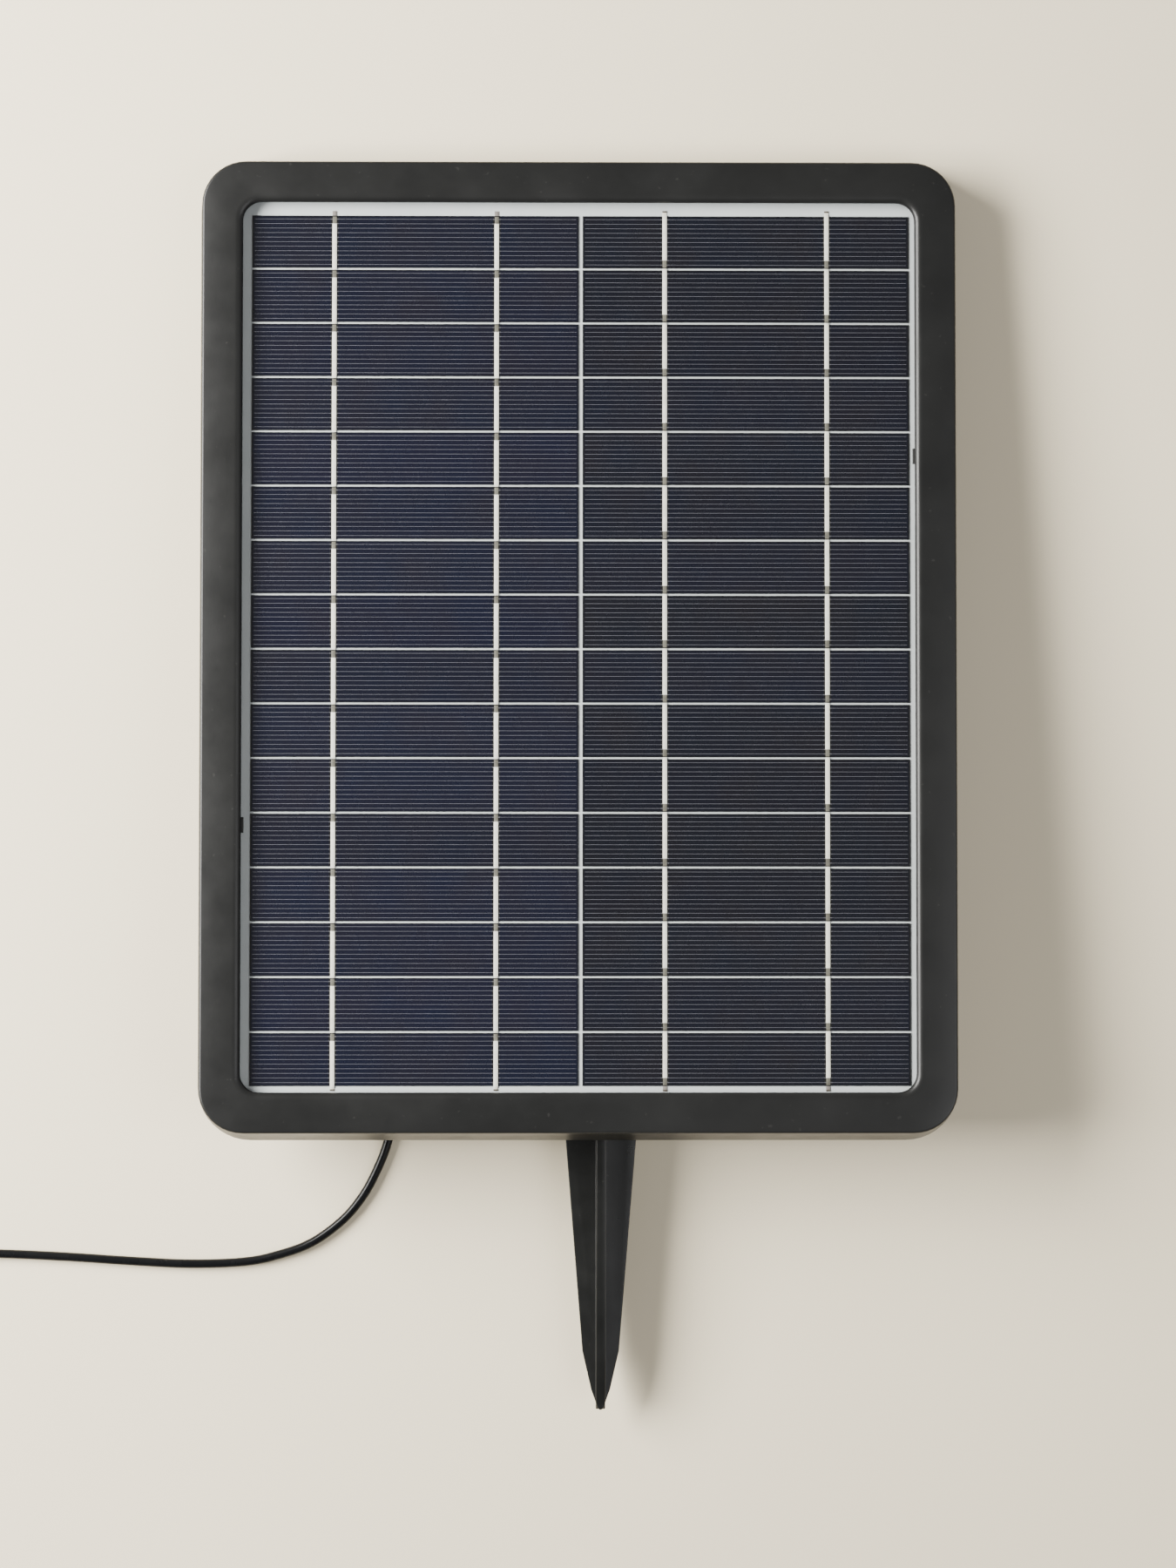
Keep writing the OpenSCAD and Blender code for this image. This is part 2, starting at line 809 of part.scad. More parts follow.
module board_screws() {
    color([0.6, 0.6, 0.62])
        on_panel()
            translate([0, 0, z_board - board_t])
                at_board_posts()
                    screw(1, 4, 2, 1.2);
}

module blocking_diode() {
    body_z = z_board - board_t - 2.9;
    color([0.05, 0.05, 0.05])
        on_panel()
            translate([board_x + 14, slot_y - 12, body_z]) {
                translate([-4.75, 0, 0])
                    rod_x(2.6, 9.5);
                translate([-8.5, 0, 0])
                    rod_x(0.6, 17);
                for (side = [-1, 1])
                    translate([side * 7.9, 0, 0])
                        cylinder(r = 0.6, h = 2.85);
            }
}

module terminal_block() {
    color([0.15, 0.4, 0.25])
        on_panel()
            translate([-18, box_low + 16, z_board - board_t - 5.8])
                difference() {
                    cube([11, 8, 5.75]);
                    for (i = [0, 1])
                        translate([3 + 5 * i, 0, 2.6]) {
                            translate([0, 5, 0])
                                rod_y(1.1, 6);
                            translate([0, 4, -3])
                                cylinder(r = 1.4, h = 3);
                        }
                }
}

// Flat strips that bring the bus ribbons through the cover and into the box
module output_tabs() {
    tab_l = z_bus - ribbon_t - (z_board - board_t - 0.4);
    color([0.8, 0.8, 0.74])
        on_panel()
            for (side = [-1, 1])
                translate([side * tab_x, slot_y, z_bus - ribbon_t - tab_l / 2])
                    cube([bus_w, 0.4, tab_l], center = true);
}

// Two insulated cores from the end of the lead to the terminal block
module core_wires() {
    start = [-outlet_x, box_low + 9.3, z_outlet];
    wire_z = z_board - board_t - 3.2;
    color([0.6, 0.08, 0.06])
        on_panel()
            for (i = [0, 1])
                tube(smooth_route([
                    start + [1.1 * (2 * i - 1), 0, 0],
                    start + [1.1 * (2 * i - 1), 1, 0],
                    start + [1.4 * (2 * i - 1), 3.6 - 1.6 * i, 0],
                    [-29 + 4 * i, box_low + 13.4 - 3 * i, z_outlet / 2 + wire_z / 2],
                    [-20 + 5 * i, box_low + 13 - 2.6 * i, wire_z],
                    [-15 + 5 * i, box_low + 15, wire_z],
                    [-15 + 5 * i, box_low + 19, wire_z]
                ], 3), 0.8, lead_sides);
}

// ---------- cable gland ----------

module gland_body() {
    color([0.06, 0.06, 0.065])
        on_panel()
            translate([-outlet_x, box_low, z_outlet])
                difference() {
                    union() {
                        rotate([90, 0, 0])
                            cylinder(r = gland_flats / sqrt(3), h = gland_flange_t, $fn = 6);
                        translate([0, box_wall + 4, 0])
                            rod_y(gland_thread_r, box_wall + 4 + gland_flange_t + 3);
                    }
                    translate([0, box_wall + 5, 0])
                        rod_y(lead_r + 0.15, 30);
                }
}

module gland_locknut() {
    color([0.06, 0.06, 0.065])
        on_panel()
            translate([-outlet_x, box_low + box_wall + 3.3, z_outlet])
                difference() {
                    rotate([90, 0, 0])
                        cylinder(r = locknut_flats / sqrt(3), h = 3.2, $fn = 6);
                    translate([0, 1, 0])
                        rod_y(gland_thread_r + 0.05, 6);
                }
}

module gland_seal() {
    color([0.12, 0.12, 0.12])
        on_panel()
            translate([-outlet_x, box_low - gland_flange_t - 3.1, z_outlet])
                difference() {
                    rod_y(gland_thread_r - 0.1, gland_seal_l);
                    translate([0, 1, 0])
                        rod_y(lead_r - 0.1, gland_seal_l + 2);
                }
}

module gland_nut() {
    color([0.06, 0.06, 0.065])
        on_panel()
            translate([-outlet_x, box_low - gland_flange_t - 0.2, z_outlet])
                difference() {
                    union() {
                        rod_y(6, gland_nut_l - 3);
                        translate([0, 3 - gland_nut_l, 0])
                            rotate([90, 0, 0])
                                cylinder(r1 = 6, r2 = 4.2, h = 2.8);
                    }
                    translate([0, 1, 0])
                        rod_y(gland_thread_r + 0.05, 1 + 7.3);
                    translate([0, 1, 0])
                        rod_y(lead_r + 0.15, 30);
                }
}

// ---------- hinge, on the panel's side ----------

module hinge_bracket() {
    color([0.07, 0.07, 0.075])
        on_panel()
            translate([0, -hinge_low, 0])
                difference() {
                    union() {
                        plate(bracket_w, bracket_h, 6, z_cover_out, bracket_t);
                        translate([0, 0, z_hinge / 2 + (z_cover_out - 1) / 2])
                            cube([lug_t, 2 * lug_r, z_cover_out - 1 - z_hinge], center = true);
                        translate([-panel_lug_x, 0, z_hinge])
                            rod_x(lug_r, lug_t);
                        // gussets beside the lug
                        for (side = [-1, 1])
                            translate([-panel_lug_x + 0.5, side * 10 + 1.5, z_cover_out - bracket_t])
                                rotate([90, 0, 0])
                                    linear_extrude(3)
                                        polygon([[0, 0.5], [-14, 0.5], [-14, 0], [-4, -7], [0, -7]]);
                    }
                    translate([-panel_lug_x - 1, 0, z_hinge])
                        rod_x(bolt_r + run_gap, lug_t + 2);
                    translate([-panel_lug_x - 1, 0, z_hinge])
                        rotate([0, 90, 0])
                            cylinder(r = (nut_flats + 2 * head_gap) / sqrt(3), h = head_t + 1.5, $fn = 6);
                    translate([0, 0, z_cover_out - bracket_t - 1])
                        at_corners(bracket_hole_x, bracket_hole_y)
                            cylinder(r = bracket_screw_r + 0.2, h = bracket_t + 2);
                }
}

module bracket_inserts() {
    color([0.75, 0.6, 0.3])
        on_panel()
            translate([0, -hinge_low, z_cover_out])
                at_corners(bracket_hole_x, bracket_hole_y)
                    difference() {
                        cylinder(r = insert_r, h = insert_l - 0.2);
                        translate([0, 0, -1])
                            cylinder(r = bracket_screw_r + screw_gap, h = insert_l + 2);
                    }
}

module bracket_screws() {
    color([0.55, 0.55, 0.57])
        on_panel()
            translate([0, -hinge_low, z_cover_out - bracket_t])
                at_corners(bracket_hole_x, bracket_hole_y)
                    screw(bracket_screw_r, bracket_t + insert_l - 1.5, 4.5, 2.6);
}

module clamp_bolt() {
    color([0.62, 0.62, 0.64])
        on_panel()
            translate([head_t - panel_lug_x, -hinge_low, z_hinge]) {
                translate([0.45 - head_t, 0, 0])
                    rotate([0, 90, 0])
                        cylinder(r = nut_flats / sqrt(3), h = head_t, $fn = 6);
                rod_x(bolt_r, bolt_l);
            }
}

module friction_disc() {
    color([0.3, 0.26, 0.22])
        on_panel()
            translate([panel_lug_x, -hinge_low, z_hinge])
                difference() {
                    rod_x(lug_r - disc_inset, disc_t);
                    translate([-1, 0, 0])
                        rod_x(bolt_r + 0.3, disc_t + 2);
                }
}

// ---------- ground spike ----------

// Lug, neck, collar and the square peg that carries the spike
module stake_head() {
    neck_w = 24;
    neck_half_h = 10;
    neck_y = lug_r + 5;
    color([0.06, 0.06, 0.06])
        translate([0, hinge_y, spike_z])
            difference() {
                union() {
                    translate([stake_lug_x, 0, 0])
                        rod_x(lug_r, lug_t);
                    // stop nib, which meets the bracket's plate when the spike is swung right out
                    rotate([nib_angle, 0, 0])
                        translate([stake_lug_x, nib_at, 0])
                            rod_x(nib_r, lug_t);
                    translate([stake_lug_x, -neck_y - 1, -neck_half_h])
                        cube([lug_t, neck_y + 1, 2 * neck_half_h]);
                    translate([spike_x - neck_w / 2, -collar_y - 1, -neck_half_h])
                        cube([neck_w, collar_y + 1 - neck_y, 2 * neck_half_h]);
                    translate([spike_x - collar_w / 2, -collar_y - collar_t, -spike_z])
                        cube([collar_w, collar_t, 2 * spike_z]);
                    translate([spike_x - peg_w / 2, -collar_y - collar_t - peg_l, -peg_w / 2])
                        cube([peg_w, peg_l + 1, peg_w]);
                }
                translate([stake_lug_x - 1, 0, 0])
                    rod_x(bolt_r + run_gap, lug_t + 2);
                // pockets above and below the neck keep its walls even
                for (side = [-1, 1])
                    translate([spike_x - 8, -collar_y + 3, side * (neck_half_h - 2.5) - 2.55])
                        cube([16, collar_y - neck_y - 6, 5.1]);
            }
}

// Rib of the spike that lies flat, from its root to the point
module spike_rib(cap) {
    half = min(cap, spike_root_half);
    polygon(concat(
        [[0, half], [-0.01, -half]],
        cap < spike_root_half ? [[cap_at, -cap]] : [],
        [
            [spike_neck, -spike_neck_half],
            [spike_point + point_l * 0.35, -spike_neck_half * 0.52],
            [spike_point + 1, -1.4],
            [spike_point, -0.6],
            [spike_point, 0.6],
            [spike_point + 1, 1.4],
            [spike_point + point_l * 0.35, spike_neck_half * 0.52],
            [spike_neck, spike_neck_half]
        ],
        cap < spike_root_half ? [[cap_at, cap]] : []
    ));
}

module ground_spike() {
    color([0.05, 0.05, 0.05])
        translate([spike_x, collar_front - run_gap, spike_z])
            difference() {
                union() {
                    rotate([0, 0, 90])
                        translate([0, 0, -spike_rib_t / 2])
                            linear_extrude(spike_rib_t)
                                spike_rib(1000);
                    translate([-spike_rib_t / 2, 0, 0])
                        rotate([90, 0, 90])
                            linear_extrude(spike_rib_t)
                                spike_rib(rib_cap);
                    translate([-hub_w / 2, -hub_l, -hub_w / 2])
                        cube([hub_w, hub_l, hub_w]);
                }
                translate([-peg_w / 2 - run_gap, -peg_l - 1, -peg_w / 2 - run_gap])
                    cube([peg_w + 2 * run_gap, peg_l + 2, peg_w + 2 * run_gap]);
            }
}

// ---------- clamp knob ----------

module on_hinge(x) {
    translate([x, hinge_y, spike_z])
        children();
}

module knob_washer() {
    color([0.65, 0.65, 0.67])
        on_hinge(washer_x)
            difference() {
                rod_x(washer_r, washer_t);
                translate([-1, 0, 0])
                    rod_x(bolt_r + run_gap, washer_t + 2);
            }
}

module clamp_knob() {
    lobes = 5;
    lobe_r = 4;
    color([0.06, 0.06, 0.065])
        on_hinge(knob_x)
            difference() {
                union() {
                    rod_x(9.5, 4);
                    translate([3, 0, 0])
                        rod_x(knob_r - 3, knob_l - 3);
                    for (i = [0:lobes - 1])
                        rotate([360 * i / lobes, 0, 0])
                            translate([3.5, 0, knob_r - lobe_r])
                                rod_x(lobe_r, knob_l - 4);
                }
                translate([-1, 0, 0])
                    rod_x(knob_insert_r + screw_gap, insert_bore_l + 1.2);
                translate([-1, 0, 0])
                    rod_x(bolt_r + 0.5, knob_l - 1);
            }
}

module knob_insert() {
    color([0.75, 0.6, 0.3])
        on_hinge(knob_x)
            difference() {
                rod_x(knob_insert_r, insert_bore_l);
                translate([-1, 0, 0])
                    rod_x(bolt_r + run_gap, insert_bore_l + 2);
            }
}

// ---------- lead ----------

module lead() {
    color([0.03, 0.03, 0.03])
        tube(smooth_route(lead_points, lead_steps), lead_r, lead_sides);
}

// The turns of the coil as one closed ring
module lead_coil() {
    color([0.03, 0.03, 0.03])
        translate([coil_x, coil_y, coil_z])
            rotate_extrude()
                translate([coil_d / 2, coil_bundle_h / 2])
                    round_rect(coil_bundle_w, coil_bundle_h, 6);
}

module coil_tie() {
    color([0.05, 0.05, 0.05])
        translate([coil_x, coil_y, coil_z + coil_bundle_h / 2])
            rotate([0, 0, tie_angle])
                translate([coil_d / 2, 0, 0])
                    rotate([90, 0, 0])
                        linear_extrude(tie_w, center = true)
                            difference() {
                                round_rect(coil_bundle_w + 2 * (tie_gap + tie_t),
                                    coil_bundle_h + 0.1 + 2 * tie_t, 6);
                                round_rect(coil_bundle_w + 2 * tie_gap, coil_bundle_h + 0.1, 5.4);
                            }
}

module lead_tail() {
    color([0.03, 0.03, 0.03])
        tube(smooth_route(tail_points, lead_steps), lead_r, lead_sides);
}

// Turns its children so that -Y becomes the way the plug points, from the end of the lead
module at_plug() {
    translate([plug_x, plug_y, plug_z])
        rotate([0, 0, 180])
            children();
}

module plug_grip() {
    color([0.05, 0.05, 0.055])
        at_plug() {
            rotate([90, 0, 0])
                cylinder(r1 = 3.1, r2 = grip_r - 0.6, h = 9);
            translate([0, -9, 0])
                rod_y(grip_r, grip_l - 9);
        }
}

module plug_barrel() {
    color([0.75, 0.75, 0.76])
        at_plug()
            difference() {
                translate([0, -grip_l, 0])
                    rod_y(plug_r, plug_l);
                translate([0, 1 - grip_l, 0])
                    rod_y(plug_r - 0.35, plug_l + 2);
            }
}

module plug_insulator() {
    color([0.1, 0.1, 0.1])
        at_plug()
            difference() {
                translate([0, -grip_l, 0])
                    rod_y(plug_r - 0.4, plug_l - 0.2);
                translate([0, 1 - grip_l, 0])
                    rod_y(plug_bore_r, plug_l + 2);
            }
}

// ---------- drawing ----------

front_frame();
glass_seal();
front_glass();
front_encapsulant();
tabbing_ribbons();
cell_strips();
rear_encapsulant();
backsheet();
bus_ribbons();
rear_cover();
rear_cover_screws();
box_adhesive();
junction_box();
lid_gasket();
junction_box_lid();
lid_screws();
circuit_board();
board_screws();
blocking_diode();
terminal_block();
output_tabs();
core_wires();
gland_body();
gland_locknut();
gland_seal();
gland_nut();
hinge_bracket();
bracket_inserts();
bracket_screws();
clamp_bolt();
friction_disc();
stake_head();
ground_spike();
knob_washer();
clamp_knob();
knob_insert();
lead();
lead_coil();
coil_tie();
lead_tail();
plug_grip();
plug_barrel();
plug_insulator();
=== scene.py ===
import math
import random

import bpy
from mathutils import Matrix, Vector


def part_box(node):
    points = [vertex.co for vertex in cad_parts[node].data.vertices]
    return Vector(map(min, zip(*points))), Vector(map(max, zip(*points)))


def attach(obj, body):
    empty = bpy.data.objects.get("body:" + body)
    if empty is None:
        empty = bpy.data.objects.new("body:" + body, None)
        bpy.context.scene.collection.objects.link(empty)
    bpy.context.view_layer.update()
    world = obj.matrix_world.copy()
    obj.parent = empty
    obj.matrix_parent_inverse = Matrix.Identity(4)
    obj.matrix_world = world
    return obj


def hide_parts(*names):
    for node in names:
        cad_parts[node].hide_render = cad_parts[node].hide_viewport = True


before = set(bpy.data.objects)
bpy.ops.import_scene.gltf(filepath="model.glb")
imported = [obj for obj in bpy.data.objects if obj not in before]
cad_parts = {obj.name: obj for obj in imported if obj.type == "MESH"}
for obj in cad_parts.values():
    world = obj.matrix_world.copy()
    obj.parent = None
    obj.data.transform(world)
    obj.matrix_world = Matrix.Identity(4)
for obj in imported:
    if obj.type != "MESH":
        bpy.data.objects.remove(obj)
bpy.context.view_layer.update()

# %% [markdown]
# A solar panel on a folding ground spike, laid on its back.
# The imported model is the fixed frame: it says where every piece is and how it moves.
# This lesson builds the looks around it, one piece at a time, in the order that a maker
# would put it on the bench: the camera and the lead first, because they decide what is
# seen, and then the panel from the front to the back, the spike, and the light.

scene = bpy.context.scene

# %% [markdown]
# The whole panel leans a little, because its upper rim and the collar of the spike both
# touch the table. Measuring that lean once makes the rest easy: each piece of the panel is
# modelled flat, with its front face at height zero, and then turned into place. The glass
# is a flat plate of known length and thickness, so the height of its box gives the angle.

# %% Where the panel lies
MM = 0.001
GLASS = (334 * MM, 437.4 * MM, 3.2 * MM)
GLASS_TOP = -3 * MM
low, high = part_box("front_glass")
slope = math.hypot(GLASS[1], GLASS[2])
LEAN = math.asin((high.z - low.z) / slope) - math.atan2(GLASS[2], GLASS[1])
TURN = Matrix.Rotation(-LEAN, 4, "X")
middle = TURN @ Vector((0, 0, GLASS_TOP - GLASS[2] / 2))
ON_PANEL = Matrix.Translation((low + high) / 2 - middle) @ TURN
low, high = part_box("clamp_bolt")
HINGE = (low + high) / 2
low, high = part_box("ground_spike")
SPIKE_X = (low.x + high.x) / 2
POINT_Y = low.y
print("the panel leans", round(math.degrees(LEAN), 2), "degrees")
print("hinge at", [round(v, 4) for v in HINGE], "spike point at y", round(POINT_Y, 4))

# %% [markdown]
# The camera hangs over the table and looks straight down, as in a product picture taken
# from above. A long lens from a metre and a half keeps the edges of the panel nearly
# parallel. Its small turns are the ones that a real tripod arm leaves.

# %% Camera
bpy.ops.object.select_all(action="DESELECT")
bpy.ops.object.camera_add(
    location=(-0.0115, 0.0786, 1.6415),
    rotation=(math.radians(-2.688), math.radians(-0.567), math.radians(0.065)),
)
camera = bpy.context.active_object
camera.name = "camera"
camera.data.lens = 77.42
camera.data.sensor_width = 36
camera.data.clip_end = 20
scene.camera = camera
print("camera at", [round(v, 3) for v in camera.location], "lens", camera.data.lens)

# %% [markdown]
# Selections are the heart of modelling by operator. An operator acts on all that is
# selected, so each step first clears the selection and then picks faces, edges or points
# by their place. These helpers do that, and the steps below read like handwork.

# %% Picking and editing
FACING = 0.9


def bench_clear():
    """Leaves edit mode and selects nothing."""
    if bpy.context.object and bpy.context.object.mode != "OBJECT":
        bpy.ops.object.mode_set(mode="OBJECT")
    bpy.ops.object.select_all(action="DESELECT")


def work_on(piece):
    """Makes one piece the only selected one."""
    bench_clear()
    piece.select_set(True)
    bpy.context.view_layer.objects.active = piece


def pick(piece, kind, wanted):
    """Selects the points, edges or faces for which wanted says yes, and opens edit mode."""
    work_on(piece)
    mesh = piece.data
    for part in (mesh.vertices, mesh.edges, mesh.polygons):
        part.foreach_set("select", [False] * len(part))
    modes = {"VERT": mesh.vertices, "EDGE": mesh.edges, "FACE": mesh.polygons}
    bpy.context.tool_settings.mesh_select_mode = [kind == k for k in modes]
    count = 0
    for part in modes[kind]:
        if wanted(part):
            part.select = True
            count += 1
    bpy.ops.object.mode_set(mode="EDIT")
    return count


def pick_all(piece):
    """Selects the whole mesh and opens edit mode."""
    work_on(piece)
    bpy.ops.object.mode_set(mode="EDIT")
    bpy.ops.mesh.select_all(action="SELECT")


def modifier(piece, kind, **values):
    """Adds a modifier with these values and applies it at once."""
    work_on(piece)
    added = piece.modifiers.new(kind.lower(), kind)
    for name, value in values.items():
        setattr(added, name, value)
    bpy.ops.object.modifier_apply(modifier=added.name)


def close_edit():
    """Leaves edit mode."""
    bpy.ops.object.mode_set(mode="OBJECT")


def outward(piece):
    """Turns every face of a closed mesh outwards."""
    pick_all(piece)
    bpy.ops.mesh.normals_make_consistent(inside=False)
    close_edit()


def moved(piece, x=0.0, y=0.0, z=0.0):
    """Moves a mesh in edit mode, in millimetres."""
    pick_all(piece)
    bpy.ops.transform.translate(value=(x * MM, y * MM, z * MM))
    close_edit()
    return piece


def join(main, *others):
    """Joins the others to the first piece, which keeps its name."""
    bench_clear()
    for piece in (main, *others):
        piece.select_set(True)
    bpy.context.view_layer.objects.active = main
    bpy.ops.object.join()
    return main


print("helpers are ready")

# %% [markdown]
# A material here is a Principled shader with small procedural detail behind its colour,
# its roughness and its bump. Real plastic is never one flat colour: the mould leaves a
# fine grain, handling leaves faint smears, and dust settles in specks. One helper lays
# these three over a base colour, at a size given in millimetres, and each finish below
# then sets its own values on the shader.

# %% How a finish is made
def noise(tree, size_mm, detail, roughness=0.5):
    """Adds noise on the piece's own coordinates, with waves of a size in millimetres."""
    place = tree.nodes.new("ShaderNodeTexCoord")
    added = tree.nodes.new("ShaderNodeTexNoise")
    added.inputs["Scale"].default_value = 1000 / size_mm
    added.inputs["Detail"].default_value = detail
    added.inputs["Roughness"].default_value = roughness
    tree.links.new(place.outputs["Object"], added.inputs["Vector"])
    return added.outputs["Fac"]


def remap(tree, source, low, high, to_low, to_high, kind="LINEAR"):
    """Adds a node that stretches one range of values over another."""
    added = tree.nodes.new("ShaderNodeMapRange")
    added.interpolation_type = kind
    keys = ("From Min", "From Max", "To Min", "To Max")
    for key, value in zip(keys, (low, high, to_low, to_high)):
        added.inputs[key].default_value = value
    tree.links.new(source, added.inputs["Value"])
    return added.outputs["Result"]


def mix(tree, a, b, factor, blend="MIX"):
    """Adds a mix of two colours; these and the factor are values or outputs of nodes."""
    added = tree.nodes.new("ShaderNodeMix")
    added.data_type = "RGBA"
    added.blend_type = blend
    for key, given in (("A", a), ("B", b), ("Factor", factor)):
        if isinstance(given, bpy.types.NodeSocket):
            tree.links.new(given, added.inputs[key])
        else:
            added.inputs[key].default_value = given
    return added.outputs["Result"]


def finish(
    name, colour, second, rough, grain_mm, bump, drift_mm=60,
    metal=0.0, coat=0.0, rough_drift=0.06, speck=0.0, sheen=0.5,
):
    """A finish whose colour drifts between two tones, with grain in its gloss and bump."""
    material = bpy.data.materials.new(name)
    material.use_nodes = True
    tree = material.node_tree
    shader = tree.nodes["Principled BSDF"]
    shader.inputs["Metallic"].default_value = metal
    shader.inputs["Coat Weight"].default_value = coat
    shader.inputs["Coat Roughness"].default_value = 0.12
    shader.inputs["Specular IOR Level"].default_value = sheen
    drift = remap(tree, noise(tree, drift_mm, 4), 0.3, 0.7, 0, 1)
    top = mix(tree, (*colour, 1), (*second, 1), drift)
    if speck:
        dust = remap(tree, noise(tree, 2.2, 1, 0.4), 0.74, 0.8, 0, speck)
        top = mix(tree, top, (0.16, 0.155, 0.145, 1), dust)
    tree.links.new(top, shader.inputs["Base Color"])
    smear = noise(tree, drift_mm * 0.4, 5, 0.65)
    gloss = remap(tree, smear, 0.3, 0.7, rough - rough_drift, rough + rough_drift)
    tree.links.new(gloss, shader.inputs["Roughness"])
    relief = tree.nodes.new("ShaderNodeBump")
    relief.inputs["Strength"].default_value = bump
    relief.inputs["Distance"].default_value = grain_mm * MM * 0.25
    tree.links.new(noise(tree, grain_mm, 3, 0.6), relief.inputs["Height"])
    tree.links.new(relief.outputs["Normal"], shader.inputs["Normal"])
    return material


def wear(piece, *materials):
    """Gives a piece its materials, in the order of their slots."""
    piece.data.materials.clear()
    for material in materials:
        piece.data.materials.append(material)


lead_rubber = finish(
    "lead_rubber", (0.0035, 0.0037, 0.0042), (0.0055, 0.0057, 0.0062), 0.27, 0.5, 0.15,
    drift_mm=30, speck=0.06, sheen=0.13
)
moulded_black = finish(
    "moulded_black", (0.0078, 0.0080, 0.0080), (0.0102, 0.0104, 0.0102), 0.37, 0.35, 0.2,
    drift_mm=70, speck=0.06, sheen=0.3
)
print("two finishes so far:", lead_rubber.name, moulded_black.name)

# %% [markdown]
# The lead is one fixed length of thin round cable, three metres of it. It leaves the box
# through a gland, drops to the table and runs out of sight, where the rest is wound into a
# storage coil. It could be a curve with a round section, but a swept tube of real faces
# keeps its place in every program. So its route is worked out first, as points: the part
# that lies on the table, thirteen turns stacked in a pyramid of rows, a little over one
# more turn that slides down the side, and a short tail to the plug.

# %% Route of the lead
LEAD_D = 4.4 * MM
COIL_X, COIL_Y, COIL_Z = -358, -193, 0.9
COIL_MID = 26.5
SEAT = 4.4
LEVEL = 3.9
COIL_STEPS = 36
CROSS_FROM = 0.66
WELD = 0.00001
GLAND_X, GLAND_Z = -35, -27
outlet = [ON_PANEL @ Vector((GLAND_X * MM, y * MM, GLAND_Z * MM)) for y in (-1, -23, -35)]
laid = [
    (-36.5, 20, 14.6), (-39.5, 7, 9.4), (-44, -7, 5), (-49.5, -22, 2.9), (-58, -44, 2.3), (-70, -85, 2.3),
    (-81, -126, 2.3), (-88.5, -156, 2.3), (-93, -174, 2.3), (-98, -187, 2.3),
    (-105, -200, 2.3), (-115, -212, 2.3), (-130, -223, 2.3), (-146, -229, 2.3),
    (-163, -232.5, 2.3), (-190, -233.5, 2.3), (-220, -232, 2.3), (-250, -230, 2.3),
    (-282, -228.5, 2.3), (-308, -228.4, 2.3), (-324, -228.3, 2.7), (-341, -228.3, 3.1),
]
tail = [
    (-397.6, -200, 3.1), (-397.8, -193, 3.1), (-398, -186, 3.3), (-398, -179, 4.2),
    (-398, -172, 5), (-398, -165, 5.2),
]


def smooth(points, steps):
    """A smooth curve through the points, as a list with a few steps between each two."""
    out = []
    for i in range(len(points) - 1):
        a, b, c, d = (points[min(max(i + k, 0), len(points) - 1)] for k in (-1, 0, 1, 2))
        for s in range(steps):
            t = s / steps
            square = (2 * a - 5 * b + 4 * c - d) * t ** 2
            cube = (3 * b - a - 3 * c + d) * t ** 3
            out.append(0.5 * (2 * b + (c - a) * t + square + cube))
    out.append(points[-1].copy())
    return out


def coil_turns():
    """Points of the wound turns: each row is wound across, then the next one back."""
    rows = [(5, -1), (4, 1), (3, -1)]
    seats = []
    for level, (count, way) in enumerate(rows):
        offsets = [SEAT * (k - (count - 1) / 2) for k in range(count)]
        for offset in offsets[::way]:
            seats.append((COIL_MID + offset, COIL_Z + 2.2 + LEVEL * level))
    top = COIL_Z + 2.2 + LEVEL * len(rows)
    seats += [(COIL_MID - SEAT / 2, top), (COIL_MID + SEAT / 2, top)]
    turns = []
    for n in range(len(seats) - 1):
        (radius, height), after = seats[n], seats[n + 1]
        for s in range(COIL_STEPS):
            share = s / COIL_STEPS
            cross = min(max((share - CROSS_FROM) / (1 - CROSS_FROM), 0), 1)
            cross = cross * cross * (3 - 2 * cross)
            r = radius + (after[0] - radius) * cross + 0.1 * math.sin(5.3 * (n + share))
            z = height + (after[1] - height) * cross
            turns.append((-90 - 360 * share, r, z))
    slide = [
        (-90, 28.7, top), (-135, 29.9, top + 0.4), (-180, 31.8, top + 0.3),
        (-240, 34.1, top - 1.0)
    ]
    slide += [
        (-330, 36.2, top - 4.2), (-430, 37.9, top - 7.4), (-490, 39.0, top - 10.2),
        (-530, 39.7, top - 11.7)
    ]
    turns += [tuple(p) for p in smooth([Vector(p) for p in slide], 10)]
    out = []
    for angle, r, z in turns:
        a = math.radians(angle)
        out.append(Vector((COIL_X + r * math.cos(a), COIL_Y + r * math.sin(a), z)) * MM)
    return out


route = smooth(outlet + [Vector(p) * MM for p in laid], 5)
turns = coil_turns()
path = route + turns + smooth([Vector(p) * MM for p in tail[1:]], 3)

# %% [markdown]
# The tube itself is swept along the route. A poly curve with a round bevel gives the
# section, and converting it leaves a clean mesh of rings. Both ends lie inside other
# pieces, the gland and the plug, and are closed so that the tube is a solid.

